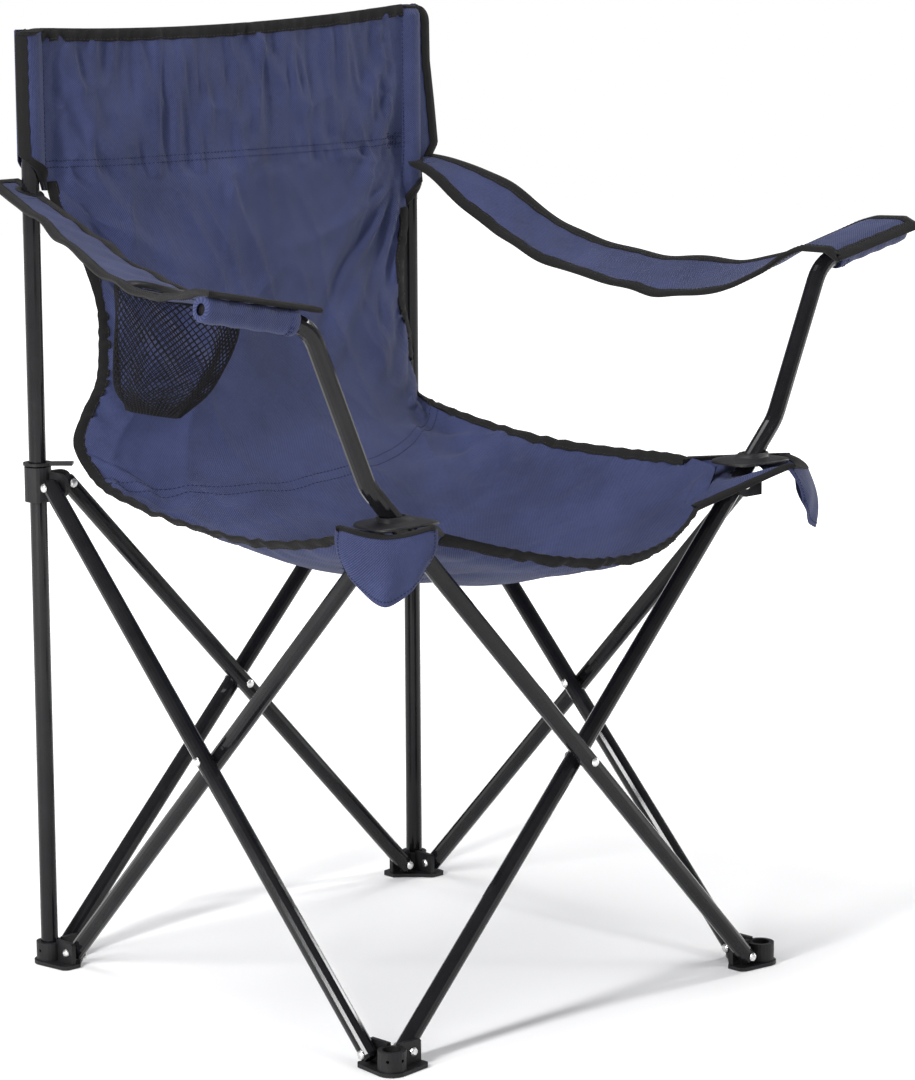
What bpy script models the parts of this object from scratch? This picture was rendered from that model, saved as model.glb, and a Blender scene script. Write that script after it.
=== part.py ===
"""Folding camp chair: four crossed pairs of tubes, two rear posts, and slung fabric.

Metres, +Z up, the front of the chair toward -Y, feet on z = 0. Every corner of the leg square
is the same layout turned by a quarter: one tube stands outside the corner axis, one inside.
A corner's own frame has its origin on the corner axis, +X and +Y both toward the chair.
"""
import math

import bmesh
import bpy
from mathutils import Matrix, Vector

# Driving dimensions
CORNER = 0.235              # half the spacing of the corner axes, both ways
MID_Y = 0.0065               # where the leg square is centred along Y
PIVOT_INSET = 0.025         # from a corner axis to the pivots beside it
FOOT_Z = 0.013              # height of the foot pivots
HUB_Z = 0.454               # height of the slider and hub pivots
TUBE_R = 0.008
TUBE_WALL = 0.001
TUBE_RES = 6                # bevel resolution of a tube's outside
BORE_RES = 2                # and of its inside
TUBE_CLEAR = 0.001          # between tubes that cross
OUTER_OFFSET = 0.0045       # outer tube's axis, outward of the corner line
INNER_OFFSET = 2 * TUBE_R + TUBE_CLEAR - OUTER_OFFSET   # inner tube's axis, inward of it
TUBE_OVERRUN = 0.0055       # tube past its end pivots
POST_TOP = 0.860
GAP = 0.0003                # between pieces that touch
SLIDE_GAP = 0.0006          # slider on its post

LOWER_BEND_RUN = 0.075      # hub pivot to the arm post's lower bend
LOWER_BEND_R = 0.045
ARM_RUN = 0.152             # lower bend to top bend
ARM_LEAN = math.radians(24.2)
TOP_BEND_R = 0.034
TOP_RUN = 0.112             # top bend to the arm post's end
TOP_LEAN = math.radians(79.0)

WALL_T = 0.0045             # lug walls of feet, sliders and hubs
LUG_R = 0.011
SOCKET_WALL = 0.0045        # post sockets and slider collars
SOCKET_R = TUBE_R + SOCKET_WALL
LUG_RISE = 0.010            # foot lugs above and past the pivots
LUG_END = 0.009
SOCKET_TOP = FOOT_Z + 0.0075
BASE_T = 0.0033
DRAIN_R = 0.0015            # two small holes in each foot's ring
SHANK_R = 0.0024
HEAD_R = 0.0042
HEAD_T = 0.0020
HUB_REACH = 0.0171          # from a hub's pivot to where the leaning arm post passes its wall
HUB_BERTH = 1.15            # room for that arm post over the wall, in tube radii
HOOK_LIFT = 0.0175
HOOK_T = 0.0025
HOOK_REACH = 0.028
HOOK_HALF = 0.005

CLOTH_T = 0.003
SLEEVE_T = 0.002
FOLD_GAP = 0.002            # from the seat's fold line to the edge of each half
BAND_LOW = POST_TOP - 0.119  # lower end of the back's post sleeves
BAND_TOP = POST_TOP + 0.008

PLATE_Z = HUB_Z + 0.0200    # underside of the corner plates
PLATE_HALF = (0.031, 0.026)
FLAP_TOP = PLATE_Z - 0.0015
FLAP_DROP = 0.056
FLAP_R = 0.052
FLAP_SPREAD = 47            # half the angle that a flap wraps, degrees

ARM_REAR_Z = BAND_LOW - 0.012
ARM_REAR_END = 0.035        # armrest behind the rear post's axis
ARM_FRONT_END = 0.0135      # armrest in front of the front corners' axes
ARM_REAR_HALF = 0.0175
ARM_FRONT_HALF = 0.059
ARM_OVER_TUBE = TUBE_R + 0.0050    # armrest cloth above the arm post's axis
CUP_U = 0.66                # cup holder's place along the armrest
CUP_R = 0.034
CUP_RIM = 0.006
# The cup pocket's rings, top to bottom: depth below the armrest, half sizes along X and Y, shift
# along Y from the cup's axis, and how far the ring follows the armrest's own slope
POCKET_RINGS = ((0.0050, 0.040, 0.068, -0.010, 1.0), (0.0400, 0.039, 0.062, -0.002, 0.6),
                (0.0740, 0.036, 0.048, 0.010, 0.3), (0.0980, 0.030, 0.036, 0.018, 0.0))

# What follows from them
PIVOT = CORNER - PIVOT_INSET
SPAN = 2 * PIVOT
RISE = HUB_Z - FOOT_Z
REACH = math.hypot(SPAN, RISE)
LEAN = math.atan2(SPAN, RISE)
HUB_TOP = HUB_REACH / math.tan(LEAN) - HUB_BERTH * TUBE_R / math.sin(LEAN)
WALL_OUT = TUBE_R - OUTER_OFFSET + GAP          # wall that an outer tube lies against
WALL_IN = INNER_OFFSET - TUBE_R - GAP - WALL_T  # wall that an inner tube lies against
LUG_GRIP = OUTER_OFFSET + TUBE_R + WALL_OUT + WALL_T
CROSS_GRIP = OUTER_OFFSET + INNER_OFFSET + 2 * TUBE_R
LEFT, RIGHT = -1, 1
SLEEVE_R = TUBE_R + GAP + SLEEVE_T
BAND_Y = CORNER - SLEEVE_R + CLOTH_T / 2    # the band lies across the front of the post sleeves

SCENE = bpy.context.scene
CHAIR = None
CUTTERS = None


def clear_scene():
    for obj in list(bpy.data.objects):
        bpy.data.objects.remove(obj, do_unlink=True)


def new_collection(name):
    group = bpy.data.collections.new(name)
    SCENE.collection.children.link(group)
    return group


def material(name, colour, roughness, metallic=0.0):
    mat = bpy.data.materials.new(name)
    mat.use_nodes = True
    shader = mat.node_tree.nodes["Principled BSDF"]
    shader.inputs["Base Color"].default_value = (*colour, 1.0)
    shader.inputs["Roughness"].default_value = roughness
    shader.inputs["Metallic"].default_value = metallic
    mat.diffuse_color = (*colour, 1.0)
    return mat


def add(name, mesh, mat_spec, matrix=Matrix.Identity(4)):
    """A finished piece: its mesh, its own material, and its place."""
    obj = bpy.data.objects.new(name, mesh)
    obj.matrix_world = matrix
    if not mesh.materials:
        mesh.materials.append(None)
    obj.material_slots[0].link = "OBJECT"
    obj.material_slots[0].material = material(name, *mat_spec)
    CHAIR.objects.link(obj)
    return obj


BLACK_COAT = ((0.012, 0.012, 0.013), 0.22, 0.55)
BLACK_PLASTIC = ((0.016, 0.016, 0.017), 0.45)
BRIGHT_STEEL = ((0.70, 0.70, 0.68), 0.25, 1.0)
NAVY_CLOTH = ((0.050, 0.065, 0.150), 0.85)
BLACK_MESH = ((0.015, 0.015, 0.017), 0.80)


def mesh_of(bm, name, sharp_degrees=35):
    mesh = bpy.data.meshes.new(name)
    bmesh.ops.recalc_face_normals(bm, faces=bm.faces)
    bm.to_mesh(mesh)
    bm.free()
    mesh.shade_smooth()
    mesh.set_sharp_from_angle(angle=math.radians(sharp_degrees))
    return mesh


def tool(name, mesh):
    """A working object that a Boolean or a modifier reads; never part of the chair."""
    obj = bpy.data.objects.new(name, mesh)
    CUTTERS.objects.link(obj)
    obj.hide_render = True
    obj.display_type = "WIRE"
    return obj


def evaluated_mesh(obj, weld=0.0):
    bpy.context.view_layer.update()
    seen = obj.evaluated_get(bpy.context.evaluated_depsgraph_get())
    mesh = bpy.data.meshes.new_from_object(seen)
    if weld:
        bm = bmesh.new()
        bm.from_mesh(mesh)
        bmesh.ops.remove_doubles(bm, verts=bm.verts, dist=weld)
        bmesh.ops.recalc_face_normals(bm, faces=bm.faces)
        bm.to_mesh(mesh)
        bm.free()
    return mesh


def combined(name, base, steps):
    """The base mesh with each (operation, mesh) applied in turn by an exact Boolean."""
    body = tool(name + "_body", base)
    helpers = []
    for count, (operation, mesh) in enumerate(steps):
        helper = tool(f"{name}_{operation.lower()}_{count}", mesh)
        helpers.append(helper)
        boolean = body.modifiers.new(operation, "BOOLEAN")
        boolean.operation = operation
        boolean.solver = "EXACT"
        boolean.object = helper
    mesh = evaluated_mesh(body)
    mesh.name = name
    mesh.shade_smooth()
    mesh.set_sharp_from_angle(angle=math.radians(35))
    for obj in [body] + helpers:
        bpy.data.objects.remove(obj, do_unlink=True)
    return mesh


def cylinder(radius, low, high, axis="Z", centre=(0, 0), sides=24):
    """A cylinder along one axis, from low to high; centre holds its other two coordinates."""
    bm = bmesh.new()
    bmesh.ops.create_cone(bm, cap_ends=True, segments=sides, radius1=radius, radius2=radius,
                          depth=high - low)
    middle = (low + high) / 2
    if axis == "X":
        turn = Matrix.Translation((middle, *centre)) @ Matrix.Rotation(math.pi / 2, 4, "Y")
    elif axis == "Y":
        turn = (Matrix.Translation((centre[0], middle, centre[1]))
                @ Matrix.Rotation(math.pi / 2, 4, "X"))
    else:
        turn = Matrix.Translation((*centre, middle))
    bmesh.ops.transform(bm, matrix=turn, verts=bm.verts)
    return mesh_of(bm, "cylinder")


def box(low, high):
    bm = bmesh.new()
    bmesh.ops.create_cube(bm, size=1.0)
    size = [b - a for a, b in zip(low, high)]
    centre = [(a + b) / 2 for a, b in zip(low, high)]
    bmesh.ops.transform(bm, matrix=Matrix.Translation(centre) @ Matrix.Diagonal((*size, 1)),
                        verts=bm.verts)
    return mesh_of(bm, "box")


def pipe_along(points, radius, end_taper=False, resolution=TUBE_RES):
    """A closed round bar along the points, from a bevelled curve with caps."""
    curve = bpy.data.curves.new("path", "CURVE")
    curve.dimensions = "3D"
    curve.bevel_depth = radius
    curve.bevel_resolution = resolution
    curve.use_fill_caps = True
    spline = curve.splines.new("POLY")
    spline.points.add(len(points) - 1)
    for place, point in zip(spline.points, points):
        place.co = (*point, 1.0)
    if end_taper:
        spline.points[0].radius = 0.72
        spline.points[-1].radius = 0.72
    path = tool("path", curve)
    mesh = evaluated_mesh(path, weld=1e-6)
    bpy.data.objects.remove(path, do_unlink=True)
    return mesh


def outline_solid(loops, low, high):
    """Flat loops of (x, y) points, filled, and extruded from low to high."""
    curve = bpy.data.curves.new("outline", "CURVE")
    curve.dimensions = "2D"
    curve.fill_mode = "BOTH"
    curve.extrude = (high - low) / 2
    for loop in loops:
        spline = curve.splines.new("POLY")
        spline.points.add(len(loop) - 1)
        for place, point in zip(spline.points, loop):
            place.co = (*point, 0.0, 1.0)
        spline.use_cyclic_u = True
    shape = tool("outline", curve)
    mesh = evaluated_mesh(shape, weld=1e-6)
    bpy.data.objects.remove(shape, do_unlink=True)
    mesh.transform(Matrix.Translation((0, 0, (low + high) / 2)))
    return mesh


def turned(profile, steps):
    """A solid of revolution about Z; the profile is (radius, z), top to bottom."""
    mesh = bpy.data.meshes.new("profile")
    edges = [(i, i + 1) for i in range(len(profile) - 1)]
    mesh.from_pydata([(r, 0.0, z) for r, z in profile], edges, [])
    blank = tool("profile", mesh)
    screw = blank.modifiers.new("turn", "SCREW")
    screw.steps = steps
    screw.render_steps = steps
    screw.use_merge_vertices = True
    screw.merge_threshold = 0.00001
    solid = evaluated_mesh(blank, weld=1e-6)
    bpy.data.objects.remove(blank, do_unlink=True)
    solid.shade_smooth()
    solid.set_sharp_from_angle(angle=math.radians(40))
    return solid


def sheet(rows, thickness):
    """A closed sheet of cloth: a grid of points, thickened evenly about its surface."""
    bm = bmesh.new()
    grid = [[bm.verts.new(point) for point in row] for row in rows]
    for lower, upper in zip(grid, grid[1:]):
        for i in range(len(lower) - 1):
            bm.faces.new((lower[i], lower[i + 1], upper[i + 1], upper[i]))
    surface = tool("sheet", mesh_of(bm, "sheet"))
    thicken = surface.modifiers.new("thicken", "SOLIDIFY")
    thicken.thickness = thickness
    thicken.offset = 0.0
    mesh = evaluated_mesh(surface)
    bpy.data.objects.remove(surface, do_unlink=True)
    mesh.shade_smooth()
    mesh.set_sharp_from_angle(angle=math.radians(50))
    return mesh


def arc(centre, radius, start, end, count):
    """Points on an arc, angles in degrees."""
    angles = [math.radians(start + (end - start) * i / count) for i in range(count + 1)]
    return [(centre[0] + radius * math.cos(a), centre[1] + radius * math.sin(a)) for a in angles]


def lerp(a, b, t):
    return a + (b - a) * t


def smooth_curve(stations, t):
    """Smooth value at t of a curve through evenly spaced stations (Catmull-Rom)."""
    last = len(stations) - 1
    place = min(max(t, 0.0), 1.0) * last
    i = min(int(place), last - 1)
    f = place - i
    p0 = Vector(stations[max(i - 1, 0)])
    p1 = Vector(stations[i])
    p2 = Vector(stations[i + 1])
    p3 = Vector(stations[min(i + 2, last)])
    return 0.5 * (2 * p1 + (p2 - p0) * f + (2 * p0 - 5 * p1 + 4 * p2 - p3) * f * f
                  + (3 * p1 - p0 - 3 * p2 + p3) * f ** 3)


def corner_frame(turns):
    """Corner 0 is front left, then front right, rear right, rear left."""
    return (Matrix.Translation((0, MID_Y, 0)) @ Matrix.Rotation(turns * math.pi / 2, 4, "Z")
            @ Matrix.Translation((-CORNER, -CORNER, 0)))


FRONT_LEFT, FRONT_RIGHT, REAR_RIGHT, REAR_LEFT = (corner_frame(i) for i in range(4))


def outer_tube_place(corner):
    """Frame of the outer tube rising from this corner's foot: origin at its foot pivot."""
    return (corner @ Matrix.Translation((-OUTER_OFFSET, PIVOT_INSET, FOOT_Z))
            @ Matrix.Rotation(-LEAN, 4, "X"))


def inner_tube_place(corner):
    return (corner @ Matrix.Translation((PIVOT_INSET, INNER_OFFSET, FOOT_Z))
            @ Matrix.Rotation(LEAN, 4, "Y") @ Matrix.Rotation(-math.pi / 2, 4, "Z"))


# Tubes

def hollow_tube(name, path, bores):
    """A tube with closed ends along the path, bored across (along X) at each height in bores."""
    inside = list(path)
    inside[0] = path[0] + (path[1] - path[0]).normalized() * TUBE_WALL * 2
    inside[-1] = path[-1] + (path[-2] - path[-1]).normalized() * TUBE_WALL * 2
    steps = [("DIFFERENCE", pipe_along(inside, TUBE_R - TUBE_WALL, True, BORE_RES))]
    for height in bores:
        steps.append(("DIFFERENCE", cylinder(SHANK_R + GAP, -2 * TUBE_R, 2 * TUBE_R, "X",
                                             (0, height), sides=8)))
    return combined(name, pipe_along(path, TUBE_R, end_taper=True), steps)


def straight_path(low, high):
    """A straight tube's path along Z, with a short lead at each end for the rounding."""
    lead = 0.003
    return [Vector((0, 0, z)) for z in (low, low + lead, high - lead, high)]


def bend(corner_point, before, after, radius, count=8):
    """Points of a bend between two directions, angles from Z toward Y, round a corner point."""
    turn = after - before
    cut = radius * math.tan(abs(turn) / 2)
    start = corner_point - cut * Vector((0, math.sin(before), math.cos(before)))
    side = math.copysign(1, turn)
    centre = start + side * radius * Vector((0, math.cos(before), -math.sin(before)))
    points = []
    for i in range(count + 1):
        angle = before + turn * i / count
        points.append(centre - side * radius * Vector((0, math.cos(angle), -math.sin(angle))))
    return points


def arm_post_path():
    """Leg, lower bend, arm, top bend and end, in the leg's own frame."""
    lower_corner = Vector((0, 0, REACH + LOWER_BEND_RUN))
    arm_angle = ARM_LEAN - LEAN
    top_angle = TOP_LEAN - LEAN
    top_corner = lower_corner + ARM_RUN * Vector((0, math.sin(arm_angle), math.cos(arm_angle)))
    end = top_corner + TOP_RUN * Vector((0, math.sin(top_angle), math.cos(top_angle)))
    before_end = top_corner + (TOP_RUN - 0.003) * Vector((0, math.sin(top_angle),
                                                          math.cos(top_angle)))
    path = straight_path(-TUBE_OVERRUN, REACH)[:2]
    path += bend(lower_corner, 0.0, arm_angle, LOWER_BEND_R, 3)
    path += bend(top_corner, arm_angle, top_angle, TOP_BEND_R, 6)
    path += [before_end, end]
    return path


def build_tubes():
    bores = (0.0, REACH / 2, REACH)
    leg = hollow_tube("leg_tube", straight_path(-TUBE_OVERRUN, REACH + TUBE_OVERRUN), bores)
    arm = hollow_tube("arm_post_tube", arm_post_path(), bores)
    add("leg_left_outer", leg, BLACK_COAT, outer_tube_place(FRONT_LEFT))
    add("leg_left_inner", leg, BLACK_COAT, inner_tube_place(REAR_LEFT))
    add("leg_right_outer", leg, BLACK_COAT, outer_tube_place(REAR_RIGHT))
    add("leg_right_inner", leg, BLACK_COAT, inner_tube_place(FRONT_RIGHT))
    add("leg_rear_outer", leg, BLACK_COAT, outer_tube_place(REAR_LEFT))
    add("leg_rear_inner", leg, BLACK_COAT, inner_tube_place(REAR_RIGHT))
    add("arm_post_left", arm, BLACK_COAT, outer_tube_place(FRONT_RIGHT))
    add("arm_post_right", arm, BLACK_COAT, inner_tube_place(FRONT_LEFT))


def build_rear_posts():
    low = BASE_T + GAP
    post = combined("rear_post", cylinder(TUBE_R, low, POST_TOP, sides=24),
                    [("DIFFERENCE", cylinder(TUBE_R - TUBE_WALL, 0, POST_TOP + 0.01, sides=24))])
    plug_r = TUBE_R - TUBE_WALL - GAP
    cap_low = POST_TOP + GAP
    cap = turned([(0, cap_low + 0.005), (0.004, cap_low + 0.0045), (0.007, cap_low + 0.003),
                  (TUBE_R, cap_low + 0.001), (TUBE_R, cap_low), (plug_r, cap_low),
                  (plug_r, cap_low - 0.014), (0, cap_low - 0.014)], 14)
    for side, corner in (("left", REAR_LEFT), ("right", REAR_RIGHT)):
        add(f"rear_post_{side}", post, BLACK_COAT, corner)
        add(f"post_cap_{side}", cap, BLACK_PLASTIC, corner)


# Plastic corner pieces, each in its corner's own frame

def lug(across, profile, normal):
    """One flat wall: its (along, height) profile, thick from across toward its normal axis."""
    if normal == "X":
        wall = outline_solid([profile], across, across + WALL_T)
        wall.transform(Matrix(((0, 0, 1, 0), (1, 0, 0, 0), (0, 1, 0, 0), (0, 0, 0, 1))))
    else:
        wall = outline_solid([profile], -across - WALL_T, -across)
        wall.transform(Matrix.Rotation(math.pi / 2, 4, "X"))
    return wall


def foot_lug_profile(low):
    start = SOCKET_R - 0.0025
    end = PIVOT_INSET + LUG_END
    top = FOOT_Z + LUG_RISE
    chamfer = 0.0015
    return [(start, low), (end, low), (end, top - chamfer), (end - chamfer, top), (start, top)]


def top_lug_profile(start, rise=LUG_R):
    """A wall that ends in a half round about its pivot, cut flat at rise above it."""
    last = math.degrees(math.asin(rise / LUG_R))
    return ([(start, HUB_Z - LUG_R)] + arc((PIVOT_INSET, HUB_Z), LUG_R, -90, last, 12)
            + [(start, HUB_Z + rise)])


def rivet_hole(axis, pivot_z):
    """Hole through a lug wall; axis is the wall's normal."""
    return cylinder(SHANK_R + GAP, -0.02, 0.03, axis, (PIVOT_INSET, pivot_z), sides=12)


def foot_base_outline():
    ear = PIVOT_INSET + LUG_END + 0.002
    tip = arc((0, 0), SOCKET_R + 0.002, 180, 270, 8)
    right_ear = [(ear - 0.004, -0.0105), (ear, -0.0065), (ear, 0.0080), (ear - 0.008, 0.0140)]
    left_ear = [(0.0140, ear - 0.008), (0.0080, ear), (-0.0065, ear), (-0.0105, ear - 0.004)]
    return tip + right_ear + left_ear


def build_feet():
    base = outline_solid([foot_base_outline()], 0.0, BASE_T)
    seat_low = BASE_T / 2
    drains = []
    for degrees in (210, 275):
        drain = cylinder(DRAIN_R, TUBE_R, SOCKET_R + 0.003, "X", (0, FOOT_Z), sides=10)
        drain.transform(Matrix.Rotation(math.radians(degrees), 4, "Z"))
        drains.append(("DIFFERENCE", drain))
    foot = combined("foot", base, [
        ("UNION", cylinder(SOCKET_R, seat_low, SOCKET_TOP, sides=24)),
        ("UNION", lug(WALL_OUT, foot_lug_profile(seat_low), "X")),
        ("UNION", lug(WALL_IN, foot_lug_profile(seat_low), "Y")),
        ("DIFFERENCE", cylinder(TUBE_R + GAP, BASE_T, SOCKET_TOP + 0.01, sides=24)),
        ("DIFFERENCE", rivet_hole("X", FOOT_Z)),
        ("DIFFERENCE", rivet_hole("Y", FOOT_Z)),
    ] + drains)
    add("foot_front_left", foot, BLACK_PLASTIC, FRONT_LEFT)
    add("foot_front_right", foot, BLACK_PLASTIC, FRONT_RIGHT)
    add("foot_rear_right", foot, BLACK_PLASTIC, REAR_RIGHT)
    add("foot_rear_left", foot, BLACK_PLASTIC, REAR_LEFT)


def build_sliders_and_hubs():
    """The upper corners mirror the feet: here the outer tube crosses along X."""
    collar_half = 0.016
    collar_wall = top_lug_profile(SOCKET_R - 0.0025)
    slider = combined("slider", cylinder(SOCKET_R, HUB_Z - collar_half, HUB_Z + collar_half,
                                         sides=24), [
        ("UNION", lug(WALL_OUT, collar_wall, "Y")),
        ("UNION", lug(WALL_IN, collar_wall, "X")),
        ("DIFFERENCE", cylinder(TUBE_R + SLIDE_GAP, HUB_Z - 0.1, HUB_Z + 0.1, sides=24)),
        ("DIFFERENCE", rivet_hole("X", HUB_Z)),
        ("DIFFERENCE", rivet_hole("Y", HUB_Z)),
    ])
    add("slider_left", slider, BLACK_PLASTIC, REAR_LEFT)
    add("slider_right", slider, BLACK_PLASTIC, REAR_RIGHT)

    hub = combined("hub", lug(WALL_OUT, top_lug_profile(WALL_IN + 0.0005, HUB_TOP), "Y"), [
        ("UNION", lug(WALL_IN, top_lug_profile(WALL_OUT + 0.0005, HUB_TOP), "X")),
        ("DIFFERENCE", rivet_hole("X", HUB_Z)),
        ("DIFFERENCE", rivet_hole("Y", HUB_Z)),
    ])
    add("hub_left", hub, BLACK_PLASTIC, FRONT_LEFT)
    add("hub_right", hub, BLACK_PLASTIC, FRONT_RIGHT)


def build_seat_hooks():
    """Flat collars that tie the seat's rear corners to the sliders."""
    low = HUB_Z + HOOK_LIFT
    ring = arc((0, 0), SOCKET_R + 0.001, 75, 375, 20)
    tab = [(HOOK_REACH, HOOK_REACH - 2 * HOOK_HALF), (HOOK_REACH - 2 * HOOK_HALF, HOOK_REACH)]
    hole = arc((0, 0), TUBE_R + SLIDE_GAP, 0, 345, 23)
    hook = outline_solid([ring + tab, hole], low, low + HOOK_T)
    add("seat_hook_left", hook, BLACK_PLASTIC, REAR_LEFT)
    add("seat_hook_right", hook, BLACK_PLASTIC, REAR_RIGHT)


# Rivets

def rivet_mesh(grip):
    half = grip / 2 + GAP
    profile = [(0, half + HEAD_T)]
    profile += [(HEAD_R * 0.55, half + HEAD_T * 0.92), (HEAD_R * 0.9, half + HEAD_T * 0.5)]
    profile += [(HEAD_R, half), (SHANK_R, half)]
    profile += [(r, -z) for r, z in reversed(profile)]
    mesh = turned(profile, 10)
    mesh.transform(Matrix.Rotation(math.pi / 2, 4, "Y"))
    return mesh


def build_rivets():
    """Every rivet lies along its own X; its origin is on its pivot's axis."""
    quarter = Matrix.Rotation(math.pi / 2, 4, "Z")
    lug_rivet = rivet_mesh(LUG_GRIP)
    cross_rivet = rivet_mesh(CROSS_GRIP)
    outer_mid = -OUTER_OFFSET - TUBE_R + LUG_GRIP / 2
    inner_mid = WALL_IN + LUG_GRIP / 2
    corners = (("front_left", FRONT_LEFT), ("front_right", FRONT_RIGHT),
               ("rear_right", REAR_RIGHT), ("rear_left", REAR_LEFT))
    for name, corner in corners:
        foot_outer = Matrix.Translation((outer_mid, PIVOT_INSET, FOOT_Z))
        foot_inner = Matrix.Translation((PIVOT_INSET, inner_mid, FOOT_Z)) @ quarter
        top_outer = Matrix.Translation((PIVOT_INSET, outer_mid, HUB_Z)) @ quarter
        top_inner = Matrix.Translation((inner_mid, PIVOT_INSET, HUB_Z))
        add(f"rivet_foot_{name}_outer", lug_rivet, BRIGHT_STEEL, corner @ foot_outer)
        add(f"rivet_foot_{name}_inner", lug_rivet, BRIGHT_STEEL, corner @ foot_inner)
        add(f"rivet_top_{name}_outer", lug_rivet, BRIGHT_STEEL, corner @ top_outer)
        add(f"rivet_top_{name}_inner", lug_rivet, BRIGHT_STEEL, corner @ top_inner)
    cross = Matrix.Translation((-OUTER_OFFSET - TUBE_R + CROSS_GRIP / 2, CORNER,
                                (FOOT_Z + HUB_Z) / 2))
    for name, corner in zip(("left", "front", "right", "rear"), (f for _, f in corners)):
        add(f"rivet_cross_{name}", cross_rivet, BRIGHT_STEEL, corner @ cross)


# Cloth

def slung_rows(edge, middle, columns, rows, tilt):
    """Rows of a sling hung from two side edges, (half width, y, z), with a middle line (y, z).

    tilt is how much higher the right edge hangs, and lower the left, at the first and last row.
    """
    grid = []
    for j in range(rows + 1):
        t = j / rows
        half, edge_y, edge_z = smooth_curve(edge, t)
        mid_y, mid_z = smooth_curve(middle, t)
        row = []
        for i in range(columns + 1):
            s = -1 + 2 * i / columns
            swell = 1 - s * s
            lift = lerp(*tilt, t) * s
            row.append(Vector((half * s, MID_Y + lerp(edge_y, mid_y, swell),
                               lerp(edge_z + lift, mid_z, swell))))
        grid.append(row)
    return grid


# Stations along the cloth, upper or rear end first: (half width, y, z) and (y, z)
BACK_EDGE = [(CORNER - 0.021, BAND_Y, POST_TOP - 0.106),
             (CORNER - 0.024, CORNER - 0.017, POST_TOP - 0.176),
             (CORNER - 0.032, CORNER - 0.029, POST_TOP - 0.246),
             (CORNER - 0.035, CORNER - 0.035, HUB_Z + 0.095),
             (CORNER - 0.030, CORNER - 0.039, HUB_Z + 0.033)]
BACK_MIDDLE = [(BAND_Y, POST_TOP - 0.106),
               (CORNER - 0.019, POST_TOP - 0.176),
               (CORNER - 0.034, POST_TOP - 0.246),
               (CORNER - 0.056, HUB_Z + 0.097),
               (CORNER - 0.085, HUB_Z + 0.048)]
SEAT_REAR_EDGE = [(CORNER - 0.031, CORNER - 0.043, HUB_Z + 0.0190),
                  (CORNER - 0.029, CORNER * 0.553, HUB_Z + 0.0105),
                  (CORNER - 0.027, CORNER * 0.281, HUB_Z + 0.0025),
                  (CORNER - 0.026, FOLD_GAP, HUB_Z - 0.0015)]
SEAT_REAR_MIDDLE = [(CORNER - 0.090, HUB_Z + 0.040),
                    (CORNER * 0.447, HUB_Z + 0.012),
                    (CORNER * 0.238, HUB_Z - 0.023),
                    (FOLD_GAP, HUB_Z - 0.053)]
SEAT_FRONT_EDGE = [(CORNER - 0.026, -FOLD_GAP, HUB_Z - 0.0015),
                   (CORNER - 0.027, CORNER * -0.306, HUB_Z),
                   (CORNER - 0.030, CORNER * -0.604, HUB_Z + 0.0060),
                   (CORNER - 0.037, 0.027 - CORNER, HUB_Z + 0.0130)]
SEAT_FRONT_MIDDLE = [(-FOLD_GAP, HUB_Z - 0.054),
                     (CORNER * -0.353, HUB_Z - 0.066),
                     (CORNER * -0.702, HUB_Z - 0.060),
                     (-0.010 - CORNER, HUB_Z - 0.040)]
# The sling's right edge hangs higher than its left one, by twice this at each place
TILT_BACK_TOP, TILT_BACK_END, TILT_FOLD, TILT_FRONT = 0.0, 0.014, 0.019, 0.004


def build_back_panel():
    """One panel: a doubled head band with a sleeve over each rear post, then the hanging back."""
    post_y = MID_Y + CORNER
    meet = math.degrees(math.asin((SLEEVE_R - CLOTH_T) / SLEEVE_R))
    right = arc((CORNER, post_y), SLEEVE_R, -90, 180 + meet, 24)
    left = [(-x, y) for x, y in reversed(right)]
    hole = arc((CORNER, post_y), TUBE_R + GAP, 0, 345, 23)
    band = outline_solid([right + left, hole, [(-x, y) for x, y in hole]], BAND_LOW, BAND_TOP)
    hanging = sheet(slung_rows(BACK_EDGE, BACK_MIDDLE, 8, 9, (TILT_BACK_TOP, TILT_BACK_END)),
                    CLOTH_T * 0.85)
    add("back_panel", combined("back_panel", band, [("UNION", hanging)]), NAVY_CLOTH)


def build_seat():
    rear = sheet(slung_rows(SEAT_REAR_EDGE, SEAT_REAR_MIDDLE, 10, 6, (TILT_BACK_END, TILT_FOLD)),
                 CLOTH_T)
    front = sheet(slung_rows(SEAT_FRONT_EDGE, SEAT_FRONT_MIDDLE, 10, 6, (TILT_FOLD, TILT_FRONT)),
                  CLOTH_T)
    add("seat_rear", rear, NAVY_CLOTH)
    add("seat_front", front, NAVY_CLOTH)


def arm_plane(side):
    """Distance of an arm post's plane in front of the leg square's centre."""
    return CORNER + OUTER_OFFSET if side == LEFT else CORNER - INNER_OFFSET


def arm_post_corner(count):
    """(outward, height) of the arm post's lower corner (1), top corner (2) or end (3)."""
    out = PIVOT + LOWER_BEND_RUN * math.sin(LEAN)
    height = HUB_Z + LOWER_BEND_RUN * math.cos(LEAN)
    for length, lean in ((ARM_RUN, ARM_LEAN), (TOP_RUN, TOP_LEAN))[:count - 1]:
        out += length * math.sin(lean)
        height += length * math.cos(lean)
    return out, height


def arm_front_x():
    """Middle of an armrest's front end: the sleeve is centred on the arm post's end run."""
    return arm_post_corner(2)[0] + 0.052


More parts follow.
